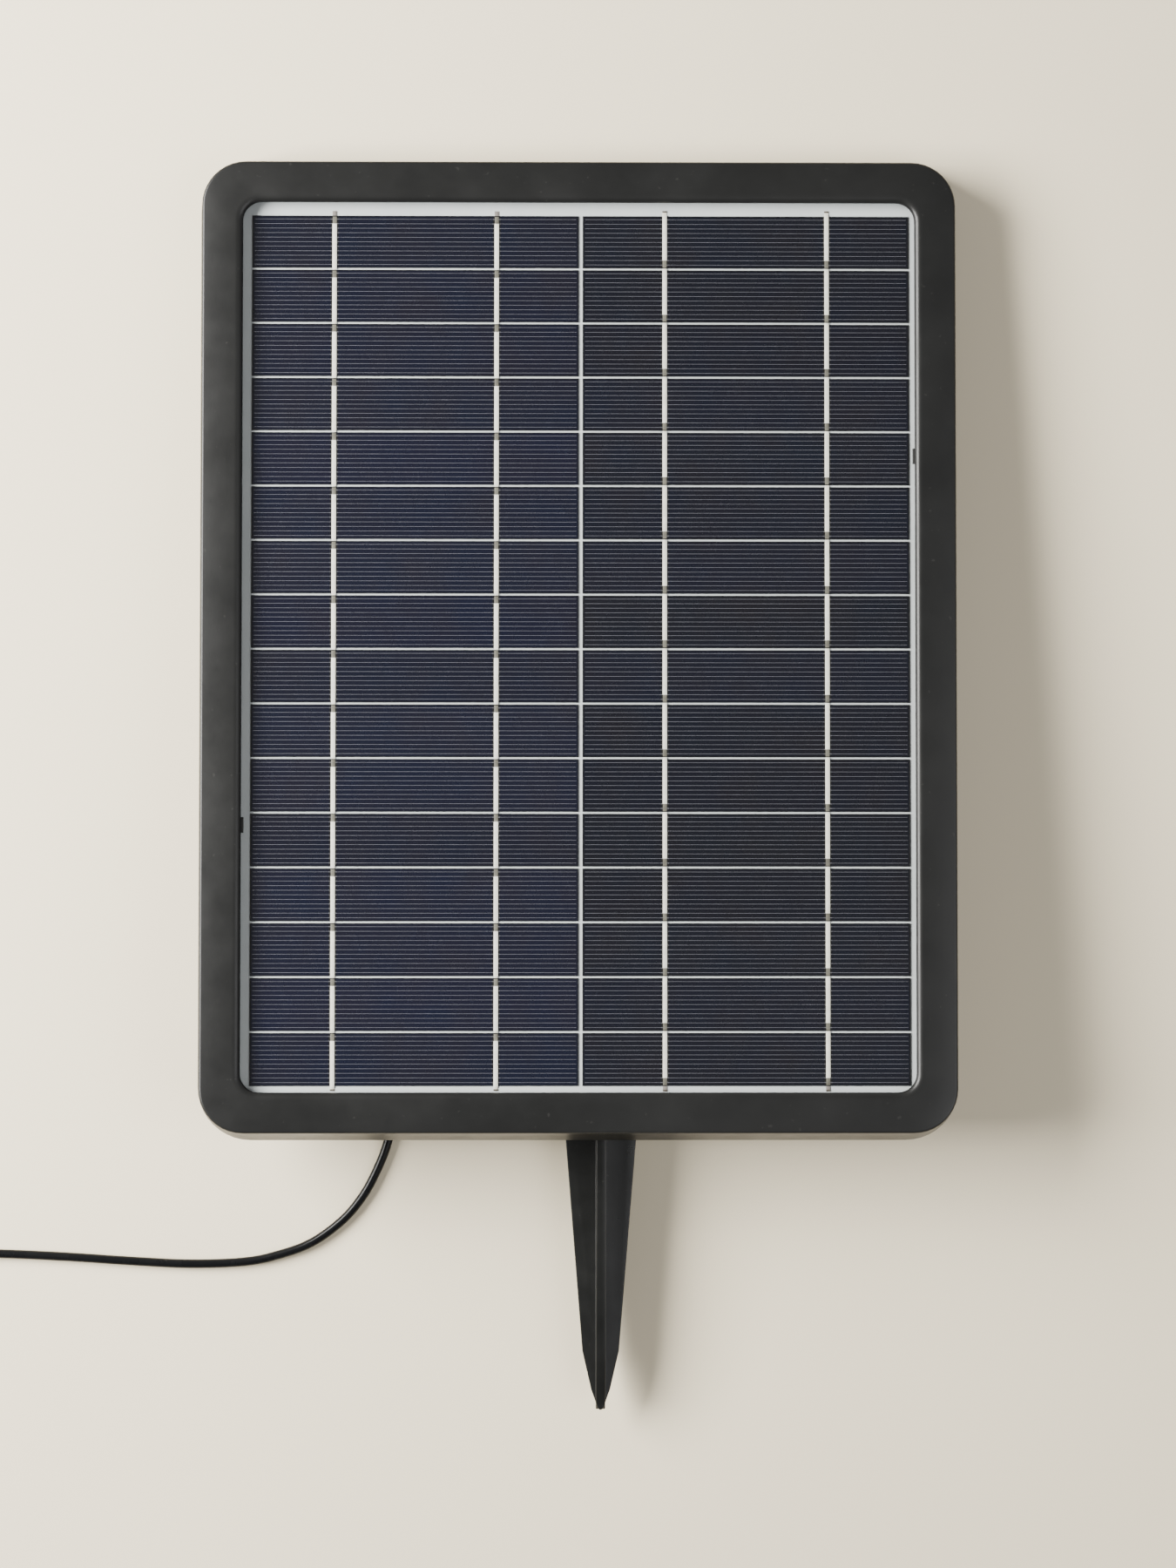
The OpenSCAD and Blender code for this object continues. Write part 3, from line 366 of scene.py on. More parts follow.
# %% The lead
def swept(name, points, radius, sides=12):
    """A round tube along the points, made from a curve and converted to a mesh."""
    bench_clear()
    bpy.ops.curve.primitive_nurbs_path_add()
    line = bpy.context.active_object
    line.name = name
    curve = line.data
    curve.splines.clear()
    spline = curve.splines.new("POLY")
    spline.points.add(len(points) - 1)
    for point, place in zip(spline.points, points):
        point.co = (*place, 1)
    curve.bevel_depth = radius
    curve.bevel_resolution = (sides - 4) // 2
    curve.use_fill_caps = True
    curve.twist_mode = "MINIMUM"
    bpy.ops.object.convert(target="MESH")
    tube = bpy.context.active_object
    pick_all(tube)
    bpy.ops.mesh.remove_doubles(threshold=WELD)
    bpy.ops.mesh.normals_make_consistent(inside=False)
    close_edit()
    bpy.ops.object.shade_smooth_by_angle(angle=math.radians(50))
    return tube


lead = swept("lead_cable", path, LEAD_D / 2)
wear(lead, lead_rubber)
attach(lead, "panel")
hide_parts("lead", "lead_coil", "lead_tail")
print(lead.name, len(lead.data.polygons), "faces")

# %% [markdown]
# Most pieces of the panel are plates and rings with round corners. One way to get them is
# a bevelled box, but two pieces that meet then share no exact corner. So every outline is
# drawn the same way: a plane sized in edit mode, its four corner points bevelled to an arc.
# Outlines at different heights and sizes are then bridged into a skin, like stretching
# cloth over the ribs of a boat. The bridge needs to know which way it goes, and two flat
# outlines at one height give it no hint, so each is first drawn a hair higher than the last
# and set back to its true height at the end.

# %% Outlines and skins
ARC = 10
HAIR = 0.03


def add_outline(w, h, r, z):
    """Adds a round-cornered outline in edit mode, in millimetres, and leaves only its edges."""
    bpy.ops.mesh.primitive_plane_add(size=1, location=(0, 0, z * MM))
    bpy.ops.transform.resize(value=(w * MM, h * MM, 1), center_override=(0, 0, z * MM))
    bpy.ops.mesh.bevel(
        offset=r * MM, offset_type="OFFSET", segments=ARC, profile=0.5, affect="VERTICES"
    )
    bpy.ops.mesh.delete(type="ONLY_FACE")


def skin(name, outlines, ring=False, cap=True):
    """Bridges a list of outlines (w, h, r, z) into one piece, closed as a ring or by caps."""
    bench_clear()
    bpy.ops.mesh.primitive_plane_add(size=1)
    piece = bpy.context.active_object
    piece.name = name
    piece.data.name = name
    bpy.ops.object.mode_set(mode="EDIT")
    bpy.ops.mesh.delete(type="VERT")
    for i, (w, h, r, z) in enumerate(outlines):
        bpy.ops.mesh.select_all(action="DESELECT")
        add_outline(w, h, r, z + HAIR * i)
    count = 4 * (ARC + 1)
    pairs = [(i, i + 1) for i in range(len(outlines) - 1)]
    if ring:
        pairs.append((len(outlines) - 1, 0))
    for a, b in pairs:
        chosen = set(range(a * count, (a + 1) * count)) | set(range(b * count, (b + 1) * count))
        pick(piece, "VERT", lambda v: v.index in chosen)
        bpy.ops.mesh.select_mode(type="EDGE")
        bpy.ops.mesh.bridge_edge_loops()
    for vertex in piece.data.vertices:
        vertex.co.z = outlines[vertex.index // count][3] * MM
    if cap and not ring:
        for a in (0, len(outlines) - 1):
            pick(piece, "VERT", lambda v: a * count <= v.index < (a + 1) * count)
            bpy.ops.mesh.edge_face_add()
    outward(piece)
    return piece


def settle(piece, material, body="panel", replaces=(), smooth_deg=35, place=ON_PANEL):
    """Turns a finished piece into its place, gives it its finish and ties it to its body."""
    work_on(piece)
    if place is not None:
        piece.matrix_world = place @ piece.matrix_world
    bpy.ops.object.transform_apply()
    bpy.ops.object.shade_smooth_by_angle(angle=math.radians(smooth_deg))
    if material is not None:
        wear(piece, material)
    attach(piece, body)
    if replaces:
        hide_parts(*replaces)
    print(piece.name, len(piece.data.polygons), "faces")
    return piece


# %% [markdown]
# The front frame is one moulding: a flat face with a soft outer edge, side walls that
# flare towards the rim, and a lip that slopes down to the glass. Its section never
# changes, only its outline does, so it is a skin over a ring of outlines that runs from
# the rim up over the face, down into the opening and back under to the rim.

# %% Front frame
CORNER = (156.5, 210.0)
FACE = (158.5, 210.0)
OPENING = (151.0, 202.7)


def offset(centre, r, z):
    """The outline at a distance r around the four corner centres."""
    return (2 * centre[0] + 2 * r, 2 * centre[1] + 2 * r, r, z)


section = [
    offset(CORNER, 25.1, -22), offset(CORNER, 25.4, -21.7), offset((157.7, 210.0), 23.0, -11.6)
]
for step in range(7):
    a = math.radians(90 * step / 6)
    section.append(offset(FACE, 19.6 + 1.4 * math.cos(a), -1.4 + 1.4 * math.sin(a)))
lip = (
    (12.8, 0), (12.0, -0.05), (11.2, -0.2), (10.5, -0.47), (9.9, -0.85), (9.45, -1.3),
    (9.15, -1.85), (9.0, -2.5),
)
for r, z in lip:
    section.append(offset(OPENING, r, z))
section += [
    offset(CORNER, 18, -2.5), offset(CORNER, 18, -16.8), offset(CORNER, 21.36, -16.8),
    offset(CORNER, 22.4, -21.7), offset(CORNER, 22.7, -22),
]
front_frame = skin("frame_moulding", section, ring=True)
settle(front_frame, moulded_black, replaces=("front_frame", "glass_seal"))

# %% [markdown]
# The seal is a thin black gasket that shows as a dark line where the lip meets the glass.
# The glass is a clear plate. Real solar glass is low in iron and nearly colourless, with a
# hint of green at its edge. It casts no shadow here and diffuse and glossy rays skip it, so
# the lamps light the cells once and not twice, while the eye still sees its reflection.

# %% Seal and glass
SEAL = ((9.0, -2.5), (16, -2.5), (16, -2.99), (9.0, -2.99))
seal = skin("glass_gasket", [offset(OPENING, r, z) for r, z in SEAL], ring=True)
gasket_rubber = finish("gasket_rubber", (0.012, 0.012, 0.012), (0.018, 0.018, 0.018), 0.6, 0.4, 0.2)
settle(seal, gasket_rubber)

clear_pane = bpy.data.materials.new("clear_pane")
clear_pane.use_nodes = True
pane = clear_pane.node_tree.nodes["Principled BSDF"]
pane.inputs["Base Color"].default_value = (0.985, 0.995, 0.99, 1)
pane.inputs["Transmission Weight"].default_value = 1.0
pane.inputs["IOR"].default_value = 1.45
tree = clear_pane.node_tree
haze = remap(tree, noise(tree, 1000 / 18, 6), 0.35, 0.75, 0.0, 0.03)
tree.links.new(haze, pane.inputs["Roughness"])

glass = skin(
    "glass_pane",
    [
        (333.4, 436.8, 4.7, -3.0), (334, 437.4, 5, -3.3), (334, 437.4, 5, -6.2),
        (333.4, 436.8, 4.7, -6.5)
    ]
)
glass.visible_shadow = False
glass.visible_diffuse = False
glass.visible_glossy = False
settle(
    glass, clear_pane, replaces=("front_glass", "front_encapsulant"),
    smooth_deg=1
)

# %% [markdown]
# Behind the cells lies the white rear sheet. It shows as a border round the cells and as
# thin bright lines between the rows. Its film is faintly mottled where the adhesive under
# it flowed. A sheet of that size needs only its outline and a little thickness.

# %% Rear sheet
sheet_film = finish(
    "sheet_film", (0.53, 0.56, 0.565), (0.49, 0.52, 0.53), 0.42, 1.2, 0.08, drift_mm=25,
    rough_drift=0.1
)
rear_sheet = skin("rear_sheet", [(334, 437.4, 5, -7.25), (334, 437.4, 5, -8.1)])
settle(rear_sheet, sheet_film, replaces=("backsheet", "rear_encapsulant"))

# %% [markdown]
# Each cell is a sixth of a wafer: a strip of blue-black silicon with a coating that ends
# just short of its edges, so a near-black line runs round it. A strip starts as a cube at
# its true size. Its top face is inset to part the coating from the bare edge, and the two
# get their own materials. Silicon cells from one wafer match, and the next wafer is a
# shade bluer or greyer, so each strip carries its own tint in an attribute.

# %% Cell finishes
def silicon(name, deep, blue, rough):
    """Coated silicon whose tint follows the attribute of its strip."""
    material = finish(
        name, deep, blue, rough, 0.5, 0.015, drift_mm=24, rough_drift=0.012, sheen=0.26
    )
    tree = material.node_tree
    shader = tree.nodes["Principled BSDF"]
    tone = shader.inputs["Base Color"].links[0].from_socket
    tint = tree.nodes.new("ShaderNodeAttribute")
    tint.attribute_name = "strip_tint"
    tinted = mix(tree, tone, tint.outputs["Color"], 1, "MULTIPLY")
    tree.links.new(tinted, shader.inputs["Base Color"])
    return material


cell_coating = silicon("cell_coating", (0.0022, 0.0034, 0.0115), (0.0042, 0.0040, 0.0095), 0.27)
cell_edge = silicon("cell_edge", (0.0012, 0.0012, 0.0018), (0.002, 0.002, 0.0026), 0.4)
print("cell finishes:", cell_coating.name, cell_edge.name)

# %% [markdown]
# One strip is a slab a fifth of a millimetre thick. Where a ribbon will lie, the coating
# is left off and a dark border shows on both sides of it, so two thin bars join the slab.
# The strip is then copied to sixteen rows and two columns.

# %% One strip, then all of them
CELL = (155.7, 25.075)
PITCH = 25.975
COLUMNS = (-77.95, 79.65)
TOP_Y = 205.9
CELL_Z = -6.8
ROWS = 16


def box(name, w, d, h, x=0.0, y=0.0, z=0.0):
    """A cube primitive at its true size, in millimetres, centred at x, y with its top at z."""
    bench_clear()
    bpy.ops.mesh.primitive_cube_add(size=1, location=(x * MM, y * MM, (z - h / 2) * MM))
    piece = bpy.context.active_object
    piece.name = name
    piece.data.name = name
    piece.scale = (w * MM, d * MM, h * MM)
    bpy.ops.object.transform_apply()
    return piece


strip = box("cell_strip", CELL[0], CELL[1], 0.2, z=CELL_Z)
wear(strip, cell_coating, cell_edge)
for face in strip.data.polygons:
    face.material_index = 1
pick(strip, "FACE", lambda f: f.normal.z > FACING)
bpy.ops.mesh.inset(thickness=0.42 * MM)
close_edit()
top_faces = [f for f in strip.data.polygons if f.normal.z > FACING]
max(top_faces, key=lambda f: f.area).material_index = 0
RIBBON_W = 2.1
RIBBON_X = 38.7
for side in (-1, 1):
    border = box("border", RIBBON_W + 1.5, CELL[1] - 1.4, 0.05, x=side * RIBBON_X, z=CELL_Z + 0.008)
    wear(border, cell_edge)
    join(strip, border)
print("a strip has", len(strip.data.polygons), "faces")


def cell_places():
    """The middle of every strip: column, row, x and y in millimetres."""
    for column, x in enumerate(COLUMNS):
        for row in range(ROWS):
            yield column, row, x, TOP_Y - CELL[1] / 2 - row * PITCH


def repeat(piece, places, name):
    """Copies a piece to every (x, y, turn), each with its own mesh, and joins the copies."""
    copies = []
    for x, y, turn in places:
        copy = piece.copy()
        copy.data = piece.data.copy()
        copy.matrix_world = Matrix.Translation((x * MM, y * MM, 0)) @ Matrix.Rotation(
            math.radians(turn), 4, "Z"
        )
        scene.collection.objects.link(copy)
        copies.append(copy)
    whole = join(*copies)
    whole.name = name
    whole.data.name = name
    bpy.ops.object.transform_apply()
    bpy.data.objects.remove(piece)
    return whole


per_strip = len(strip.data.polygons)
cells = repeat(strip, [(x, y, 0) for _, _, x, y in cell_places()], "solar_cells")
chance = random.Random(7)
tints = []
for column, row, x, y in cell_places():
    # The strips of the right column are drawn darker and greyer than those of the left.
    shade = 1.0 if column == 0 else 0.88
    light = shade * chance.uniform(0.9, 1.1)
    blue = chance.uniform(0.92, 1.12) * shade ** 2
    tints.append((light, light * chance.uniform(0.97, 1.02), light * blue, 1))
tint = cells.data.color_attributes.new("strip_tint", "FLOAT_COLOR", "CORNER")
for face in cells.data.polygons:
    colour = tints[face.index // per_strip]
    for loop in face.loop_indices:
        tint.data[loop].color = colour
settle(cells, None, replaces=("cell_strips",))
print("tinted", len(tints), "strips")

# %% [markdown]
# Eleven hair-thin fingers of silver paste run along each strip and gather the current.
# They could be drawn by a pattern, but at a tenth of a millimetre a baked pattern blurs
# away, while a sliver of real geometry stays sharp at any distance. One finger is a thin
# box, copied eleven times for a strip and then to every strip.

# %% Fingers
silver_paste = finish(
    "silver_paste", (0.13, 0.13, 0.15), (0.095, 0.095, 0.11), 0.5, 0.3, 0.2, drift_mm=6
)
finger = box("finger", CELL[0] - 2.2, 0.13, 0.012, z=CELL_Z + 0.012)
FINGER_PITCH = 2.175
FINGERS = 11
finger_places = [(0, FINGER_PITCH * (k - FINGERS // 2), 0) for k in range(FINGERS)]
fingers = repeat(finger, finger_places, "fingers")
fingers = repeat(fingers, [(x, y, 0) for _, _, x, y in cell_places()], "cell_fingers")
settle(fingers, silver_paste)

# %% [markdown]
# Two wide busbars cross each strip, and a tinned ribbon is soldered on each. The ribbon
# starts a little way in from one end, where the bare busbar still shows as a dull grey
# patch, runs off the other end, dips through the gap and carries on behind the next cell.
# In the left column the ribbons run down, in the right column up. Beside the ribbon the
# fingers widen into short dashes.

# %% Ribbons, bare busbars and dashes
tinned = finish(
    "tinned_ribbon", (0.76, 0.745, 0.655), (0.62, 0.61, 0.53), 0.42, 0.8, 0.5, drift_mm=4,
    rough_drift=0.12
)
bare_bar = finish(
    "bare_busbar", (0.13, 0.125, 0.10), (0.075, 0.07, 0.055), 0.55, 0.5, 0.4, drift_mm=2.5
)
BARE = 3.8


def ribbon_piece():
    """One ribbon of the right column: from the bare patch up over the row gap, with its dip."""
    piece = box("ribbon", RIBBON_W, CELL[1] - BARE, 0.2, y=BARE / 2, z=-6.6)
    top = CELL[1] / 2 * MM
    pick(piece, "FACE", lambda f: f.normal.y > FACING)
    for on, down in ((0.45, 0.12), (0.45, 0.27), (1.4, 0.02)):
        step = {"value": (0, on * MM, -down * MM)}
        bpy.ops.mesh.extrude_region_move(TRANSFORM_OT_translate=step)
    close_edit()
    modifier(
        piece, "BEVEL", width=0.06 * MM, segments=2, limit_method="ANGLE",
        angle_limit=math.radians(40)
    )
    print(
        "a ribbon reaches", round(1000 * (max(v.co.y for v in piece.data.vertices) - top), 2),
        "mm past its cell"
    )
    return piece


def at_ribbons():
    """Every place of a ribbon: the left column is turned half round."""
    for column, row, x, y in cell_places():
        for side in (-1, 1):
            yield x + side * RIBBON_X, y, 180 * (1 - column)


ribbons = repeat(ribbon_piece(), at_ribbons(), "ribbons")
settle(ribbons, tinned, replaces=("tabbing_ribbons",))
bare = box("bare", 1.9, CELL[1] - 0.8, 0.02, z=CELL_Z + 0.02)
modifier(bare, "BEVEL", width=0.008 * MM, segments=2)
busbars = repeat(bare, at_ribbons(), "busbars")
settle(busbars, bare_bar)
dash = box("dash", RIBBON_W + 1.7, 0.26, 0.016, z=CELL_Z + 0.016)
dashes = repeat(dash, finger_places, "dashes")
dashes = repeat(dashes, at_ribbons(), "finger_roots")
settle(dashes, silver_paste)

# %% [markdown]
# Each column starts with two short tabs that reach out from behind its first cell and
# ends with the last ribbons, whose cut ends are dark with flux. Two beads of sealant
# also stand out from under the lip, as hand-laid sealant does.

# %% Tabs, dark ends and sealant
tab = box("tab", RIBBON_W, 2.4, 0.2, z=-7.0)
modifier(tab, "BEVEL", width=0.06 * MM, segments=2)
tab_places = [(COLUMNS[0] + side * RIBBON_X, TOP_Y + 1.1, 0) for side in (-1, 1)]
low_y = TOP_Y - (ROWS - 1) * PITCH - CELL[1]
tab_places += [(COLUMNS[1] + side * RIBBON_X, low_y - 1.1, 0) for side in (-1, 1)]
tabs = repeat(tab, tab_places, "rear_tabs")
tab_metal = finish(
    "tab_metal", (0.20, 0.18, 0.165), (0.14, 0.125, 0.115), 0.5, 0.6, 0.4, drift_mm=2.5
)
settle(tabs, tab_metal)
flux = finish("flux_brown", (0.045, 0.035, 0.025), (0.09, 0.075, 0.06), 0.5, 0.4, 0.5, drift_mm=1.5)
end = box("end", RIBBON_W + 0.1, 0.8, 0.24, z=-6.93)
modifier(end, "BEVEL", width=0.08 * MM, segments=2)
end_places = [(COLUMNS[0] + side * RIBBON_X, low_y - 1.9, 0) for side in (-1, 1)]
end_places += [(COLUMNS[1] + side * RIBBON_X, TOP_Y + 2.2, 0) for side in (-1, 1)]
end_places += [(COLUMNS[1] + side * RIBBON_X, low_y - 2.2, 0) for side in (-1, 1)]
ends = repeat(end, end_places, "ribbon_ends")
settle(ends, flux)
bead = box("bead", 1.5, 7.5, 0.55, z=-2.55)
modifier(bead, "BEVEL", width=0.27 * MM, segments=4)
beads = repeat(bead, [(-159.5, -85.3, 0), (159.6, 90.5, 0)], "sealant_beads")
settle(beads, gasket_rubber)

# %% [markdown]
# The rear cover closes the frame: a thin plate with a soft edge, stiffened by two long
# bars and two short ones, and held by twelve screws round its rim. The plate is a skin
# over outlines. The bars are boxes whose edges are bevelled, joined to the plate.

# %% Rear cover
cover_grain = finish(
    "cover_grain", (0.020, 0.021, 0.021), (0.026, 0.027, 0.027), 0.55, 0.9, 0.5, drift_mm=50,
    speck=0.12
)
cover = skin(
    "cover_plate",
    [offset(CORNER, 20.96, -16.8), offset(CORNER, 20.96, -18.4), offset(CORNER, 20.4, -19.0)]
)
bars = []
for side in (-1, 1):
    bars.append(box("bar", 6, 2 * 163.8, 2.4, x=side * 109.55, z=-18.2))
    bars.append(box("bar", 2 * 109.55 + 6, 6, 2.4, y=side * 163.8, z=-18.2))
bars = join(*bars)
modifier(bars, "BEVEL", width=0.7 * MM, segments=3)
join(cover, bars)
settle(cover, cover_grain, replaces=("rear_cover",))

# %% [markdown]
# The screws are small pan heads with a cross recess. A head is a short cylinder whose
# upper rim is bevelled, and the recess is cut by a boolean that takes two thin boxes
# away, as a punch would press them in. One screw is modelled and copied to each place,
# head outwards.

# %% Screws
screw_steel = finish(
    "screw_steel", (0.42, 0.42, 0.43), (0.30, 0.30, 0.31), 0.34, 0.25, 0.3, drift_mm=5, metal=0.9
)


def rod(name, r, l, x=0.0, y=0.0, z=0.0, sides=32, axis="Z"):
    """A cylinder primitive in millimetres that starts at x, y, z and runs along an axis."""
    bench_clear()
    turn = {"Z": (0, 0, 0), "X": (0, math.pi / 2, 0), "Y": (-math.pi / 2, 0, 0)}[axis]
    step = {"Z": (0, 0, l / 2), "X": (l / 2, 0, 0), "Y": (0, l / 2, 0)}[axis]
    bpy.ops.mesh.primitive_cylinder_add(
        vertices=sides, radius=r * MM, depth=l * MM,
        location=((x + step[0]) * MM, (y + step[1]) * MM, (z + step[2]) * MM), rotation=turn,
    )
    piece = bpy.context.active_object
    piece.name = name
    piece.data.name = name
    bpy.ops.object.transform_apply()
    return piece


def cut(piece, tool):
    """Takes the tool away from the piece with an exact boolean."""
    modifier(piece, "BOOLEAN", object=tool, operation="DIFFERENCE", solver="EXACT")
    bpy.data.objects.remove(tool)


def soften(piece, width, segments=3, angle=35):
    """Rounds the sharp edges of a piece by a width in millimetres."""
    modifier(
        piece, "BEVEL", width=width * MM, segments=segments, limit_method="ANGLE",
        angle_limit=math.radians(angle), harden_normals=False
    )


def pan_screw(name, head_r, head_t, shank_r, shank_l):
    """A screw whose head sits below z = 0 and whose shank runs up."""
    head = rod(name, head_r, head_t, z=-head_t)
    pick(
        head, "EDGE",
        lambda e: all(head.data.vertices[i].co.z < -head_t * MM * 0.9 for i in e.vertices)
    )
    bpy.ops.mesh.bevel(offset=head_t * 0.45 * MM, segments=4, affect="EDGES")
    close_edit()
    cut(head, box("slot", head_r * 1.15, head_r * 0.3, 1.4, z=-head_t + 0.9))
    cut(head, box("slot", head_r * 0.3, head_r * 1.15, 1.4, z=-head_t + 0.9))
    shank = rod("shank", shank_r, shank_l, z=-0.2, sides=16)
    return join(head, shank)


rim_places = [(side * 171.4, y, 0) for side in (-1, 1) for y in (-185, -61.667, 61.667, 185)]
rim_places += [(side * 58.6875, up * 224.9, 0) for side in (-1, 1) for up in (-1, 1)]
cover_screw = moved(pan_screw("screw", 2.8, 1.8, 1.4, 3), z=-19.0)
cover_screws = repeat(cover_screw, rim_places, "cover_screws")
settle(cover_screws, screw_steel, replaces=("rear_cover_screws",))

# %% [markdown]
# The junction box sits in the middle of the cover and holds the diode and the terminals.
# Its walls are one moulding and its lid another, with a gasket line between them. Both are
# skins with a soft edge, and the lid is dished a little where its four screws sit.

# %% Junction box
box_plastic = finish(
    "box_plastic", (0.017, 0.017, 0.018), (0.021, 0.021, 0.022), 0.48, 0.6, 0.4, drift_mm=40,
    speck=0.1
)
BOX_Y = 20
lid_places = [(x, y, 0) for x in (-45, 45) for y in (-5, 45)]
walls = skin("box_walls", [
    (100, 60, 6, -19.55), (100, 60, 6, -33.2), (99.6, 59.6, 5.8, -33.45), (96, 56, 4, -33.45),
    (96, 56, 4, -21.5),
])
settle(moved(walls, y=BOX_Y), box_plastic, replaces=("junction_box",))
lid = skin("box_lid", [
    (99.6, 59.6, 5.8, -33.5), (100, 60, 6, -33.8), (100, 60, 6, -35.0), (99.2, 59.2, 5.6, -35.5),
    (98.2, 58.2, 5.1, -35.7), (84, 44, 4, -35.7), (82.6, 42.6, 3.4, -35.2),
])
lid = moved(lid, y=BOX_Y)
for x, y, _ in lid_places:
    cut(lid, rod("seat", 3.1, 1.4, x=x, y=y, z=-36.2))
settle(lid, box_plastic, replaces=("junction_box_lid",))
lid_screw = moved(pan_screw("lid_screw", 2.7, 1.5, 1.4, 2.5), z=-34.75)
lid_screws = repeat(lid_screw, lid_places, "box_screws")
settle(lid_screws, screw_steel, replaces=("lid_screws",))

# %% [markdown]
# The gland clamps the lead where it leaves the box. Its body has a hexagon to hold with a
# spanner, its nut is ribbed for the fingers, and a soft sleeve tapers along the lead to
# spare it a sharp bend. The nut and sleeve are turned shapes, so each is drawn as half a
# section and spun round the lead's axis.

# %% Turned pieces
def turned(name, section, steps=40):
    """Spins a half section of (along, radius) round the Y axis, in millimetres."""
    bench_clear()
    bpy.ops.mesh.primitive_plane_add(size=1)
    piece = bpy.context.active_object
    piece.name = name
    piece.data.name = name
    bpy.ops.object.mode_set(mode="EDIT")
    bpy.ops.mesh.delete(type="VERT")
    close_edit()
    piece.data.from_pydata(
        [(r * MM, y * MM, 0) for y, r in section],
        [(i, (i + 1) % len(section)) for i in range(len(section))], [],
    )
    pick_all(piece)
    bpy.ops.mesh.spin(steps=steps, angle=2 * math.pi, center=(0, 0, 0), axis=(0, 1, 0))
    bpy.ops.mesh.select_all(action="SELECT")
    bpy.ops.mesh.remove_doubles(threshold=WELD)
    bpy.ops.mesh.normals_make_consistent(inside=False)
    close_edit()
    return piece


gland_plastic = finish(
    "gland_plastic", (0.015, 0.015, 0.016), (0.02, 0.02, 0.021), 0.42, 0.4, 0.3, drift_mm=12
)
flange = rod("gland_hex", 12 / math.sqrt(3), 4, x=GLAND_X, y=-14, z=GLAND_Z, sides=6, axis="Y")
soften(flange, 0.4)
settle(flange, gland_plastic, replaces=("gland_body",))
nut = turned(
    "gland_cap",
    [
        (-14.2, 4.1), (-14.2, 5.7), (-14.6, 6.0), (-20, 6.0), (-21.2, 5.5), (-22.8, 4.4),
        (-23.1, 4.0), (-23.1, 2.4), (-20, 2.4)
    ]
)
nut = moved(nut, GLAND_X, 0, GLAND_Z)
RIBS = 40


def rib_gap(face):
    """Says yes for every second face on the ribbed wall of the nut."""
    x, z = face.center.x - GLAND_X * MM, face.center.z - GLAND_Z * MM
    upright = abs(Vector((face.normal.x, face.normal.z)).length - 1) < 0.05
    ribbed = -0.0199 < face.center.y < -0.0148
    outside = Vector((x, z)).length > 0.0055
    number = int((math.atan2(z, x) + math.pi) / (2 * math.pi) * RIBS + 0.01)
    return upright and ribbed and outside and number % 2 == 0


pick(nut, "FACE", rib_gap)
bpy.ops.mesh.inset(thickness=0.08 * MM, depth=-0.3 * MM, use_individual=True)
settle(nut, gland_plastic, replaces=("gland_nut",))
sleeve = turned(
    "lead_sleeve",
    [
        (-22.6, 2.25), (-22.6, 3.9), (-24, 3.8), (-30, 3.3), (-36, 2.9), (-42, 2.55), (-43, 2.35),
        (-43, 2.22), (-36, 2.22)
    ]
)
sleeve_rubber = finish(
    "sleeve_rubber", (0.014, 0.014, 0.014), (0.018, 0.018, 0.018), 0.5, 0.4, 0.3, drift_mm=10
)

# %% [markdown]
# The sleeve follows the first bend of the lead. It is turned straight, with enough rings
# to bend, and each ring is then carried onto the route at its own distance. Where the lead
# curves, so does the sleeve.

# %% Sleeve on the bend
def along_route(points, distance):
    """The place and direction at a distance along a list of points."""
    for a, b in zip(points, points[1:]):
        step = (b - a).length
        if distance <= step:
            return a + (b - a) * (distance / step), (b - a).normalized()
        distance -= step
    return points[-1], (points[-1] - points[-2]).normalized()


pick_all(sleeve)
bpy.ops.mesh.subdivide(number_cuts=2)
close_edit()
for vertex in sleeve.data.vertices:
    spot, ahead = along_route(route, -vertex.co.y - 1 * MM)
    side = ahead.cross(Vector((1, 0, 0))).normalized()
    other = side.cross(ahead).normalized()
    vertex.co = spot + other * vertex.co.x + side * vertex.co.z
outward(sleeve)
settle(sleeve, sleeve_rubber, replaces=("gland_seal",), place=None)

# %% [markdown]
# The hinge bracket is a moulded plate with a round lug that stands up from it and two
# small gussets. The lug carries the clamp bolt across. Plate, lug and gussets are boxes
# and a cylinder made one by a boolean, so that the bevel afterwards rounds the joins too.

# %% Hinge bracket
bracket_plastic = finish(
    "bracket_plastic", (0.018, 0.018, 0.0185), (0.023, 0.023, 0.023), 0.46, 0.5, 0.4, drift_mm=30,
    speck=0.08
)
HINGE_LOW = -130.0
HINGE_Z = -36.5


def joined(piece, other):
    """Makes two solids one with an exact boolean."""
    modifier(piece, "BOOLEAN", object=other, operation="UNION", solver="EXACT")
    bpy.data.objects.remove(other)


bracket = skin("bracket_plate", [(64, 46, 6, -19.02), (64, 46, 6, -21.5), (63.2, 45.2, 5.6, -22)])
moved(bracket, y=HINGE_LOW)
joined(bracket, box("web", 10, 28, 17, y=HINGE_LOW, z=-20))
joined(bracket, rod("lug", 14, 10, x=-5, y=HINGE_LOW, z=HINGE_Z, sides=64, axis="X"))
for side in (-1, 1):
    gusset = box("gusset", 14, 3, 7, x=-11, y=HINGE_LOW + side * 10, z=-21.9)
    pick(gusset, "VERT", lambda v: v.co.x < -0.0175 and v.co.z < -0.028)
    bpy.ops.transform.translate(value=(9 * MM, 0, 0))
    close_edit()
    joined(bracket, gusset)
cut(
    bracket,
    rod("pocket", 10.2 / math.sqrt(3), 5.5, x=-6.5, y=HINGE_LOW, z=HINGE_Z, sides=6, axis="X")
)
cut(bracket, rod("hole", 3.03, 14, x=-7, y=HINGE_LOW, z=HINGE_Z, axis="X"))
soften(bracket, 0.5, 2, 50)
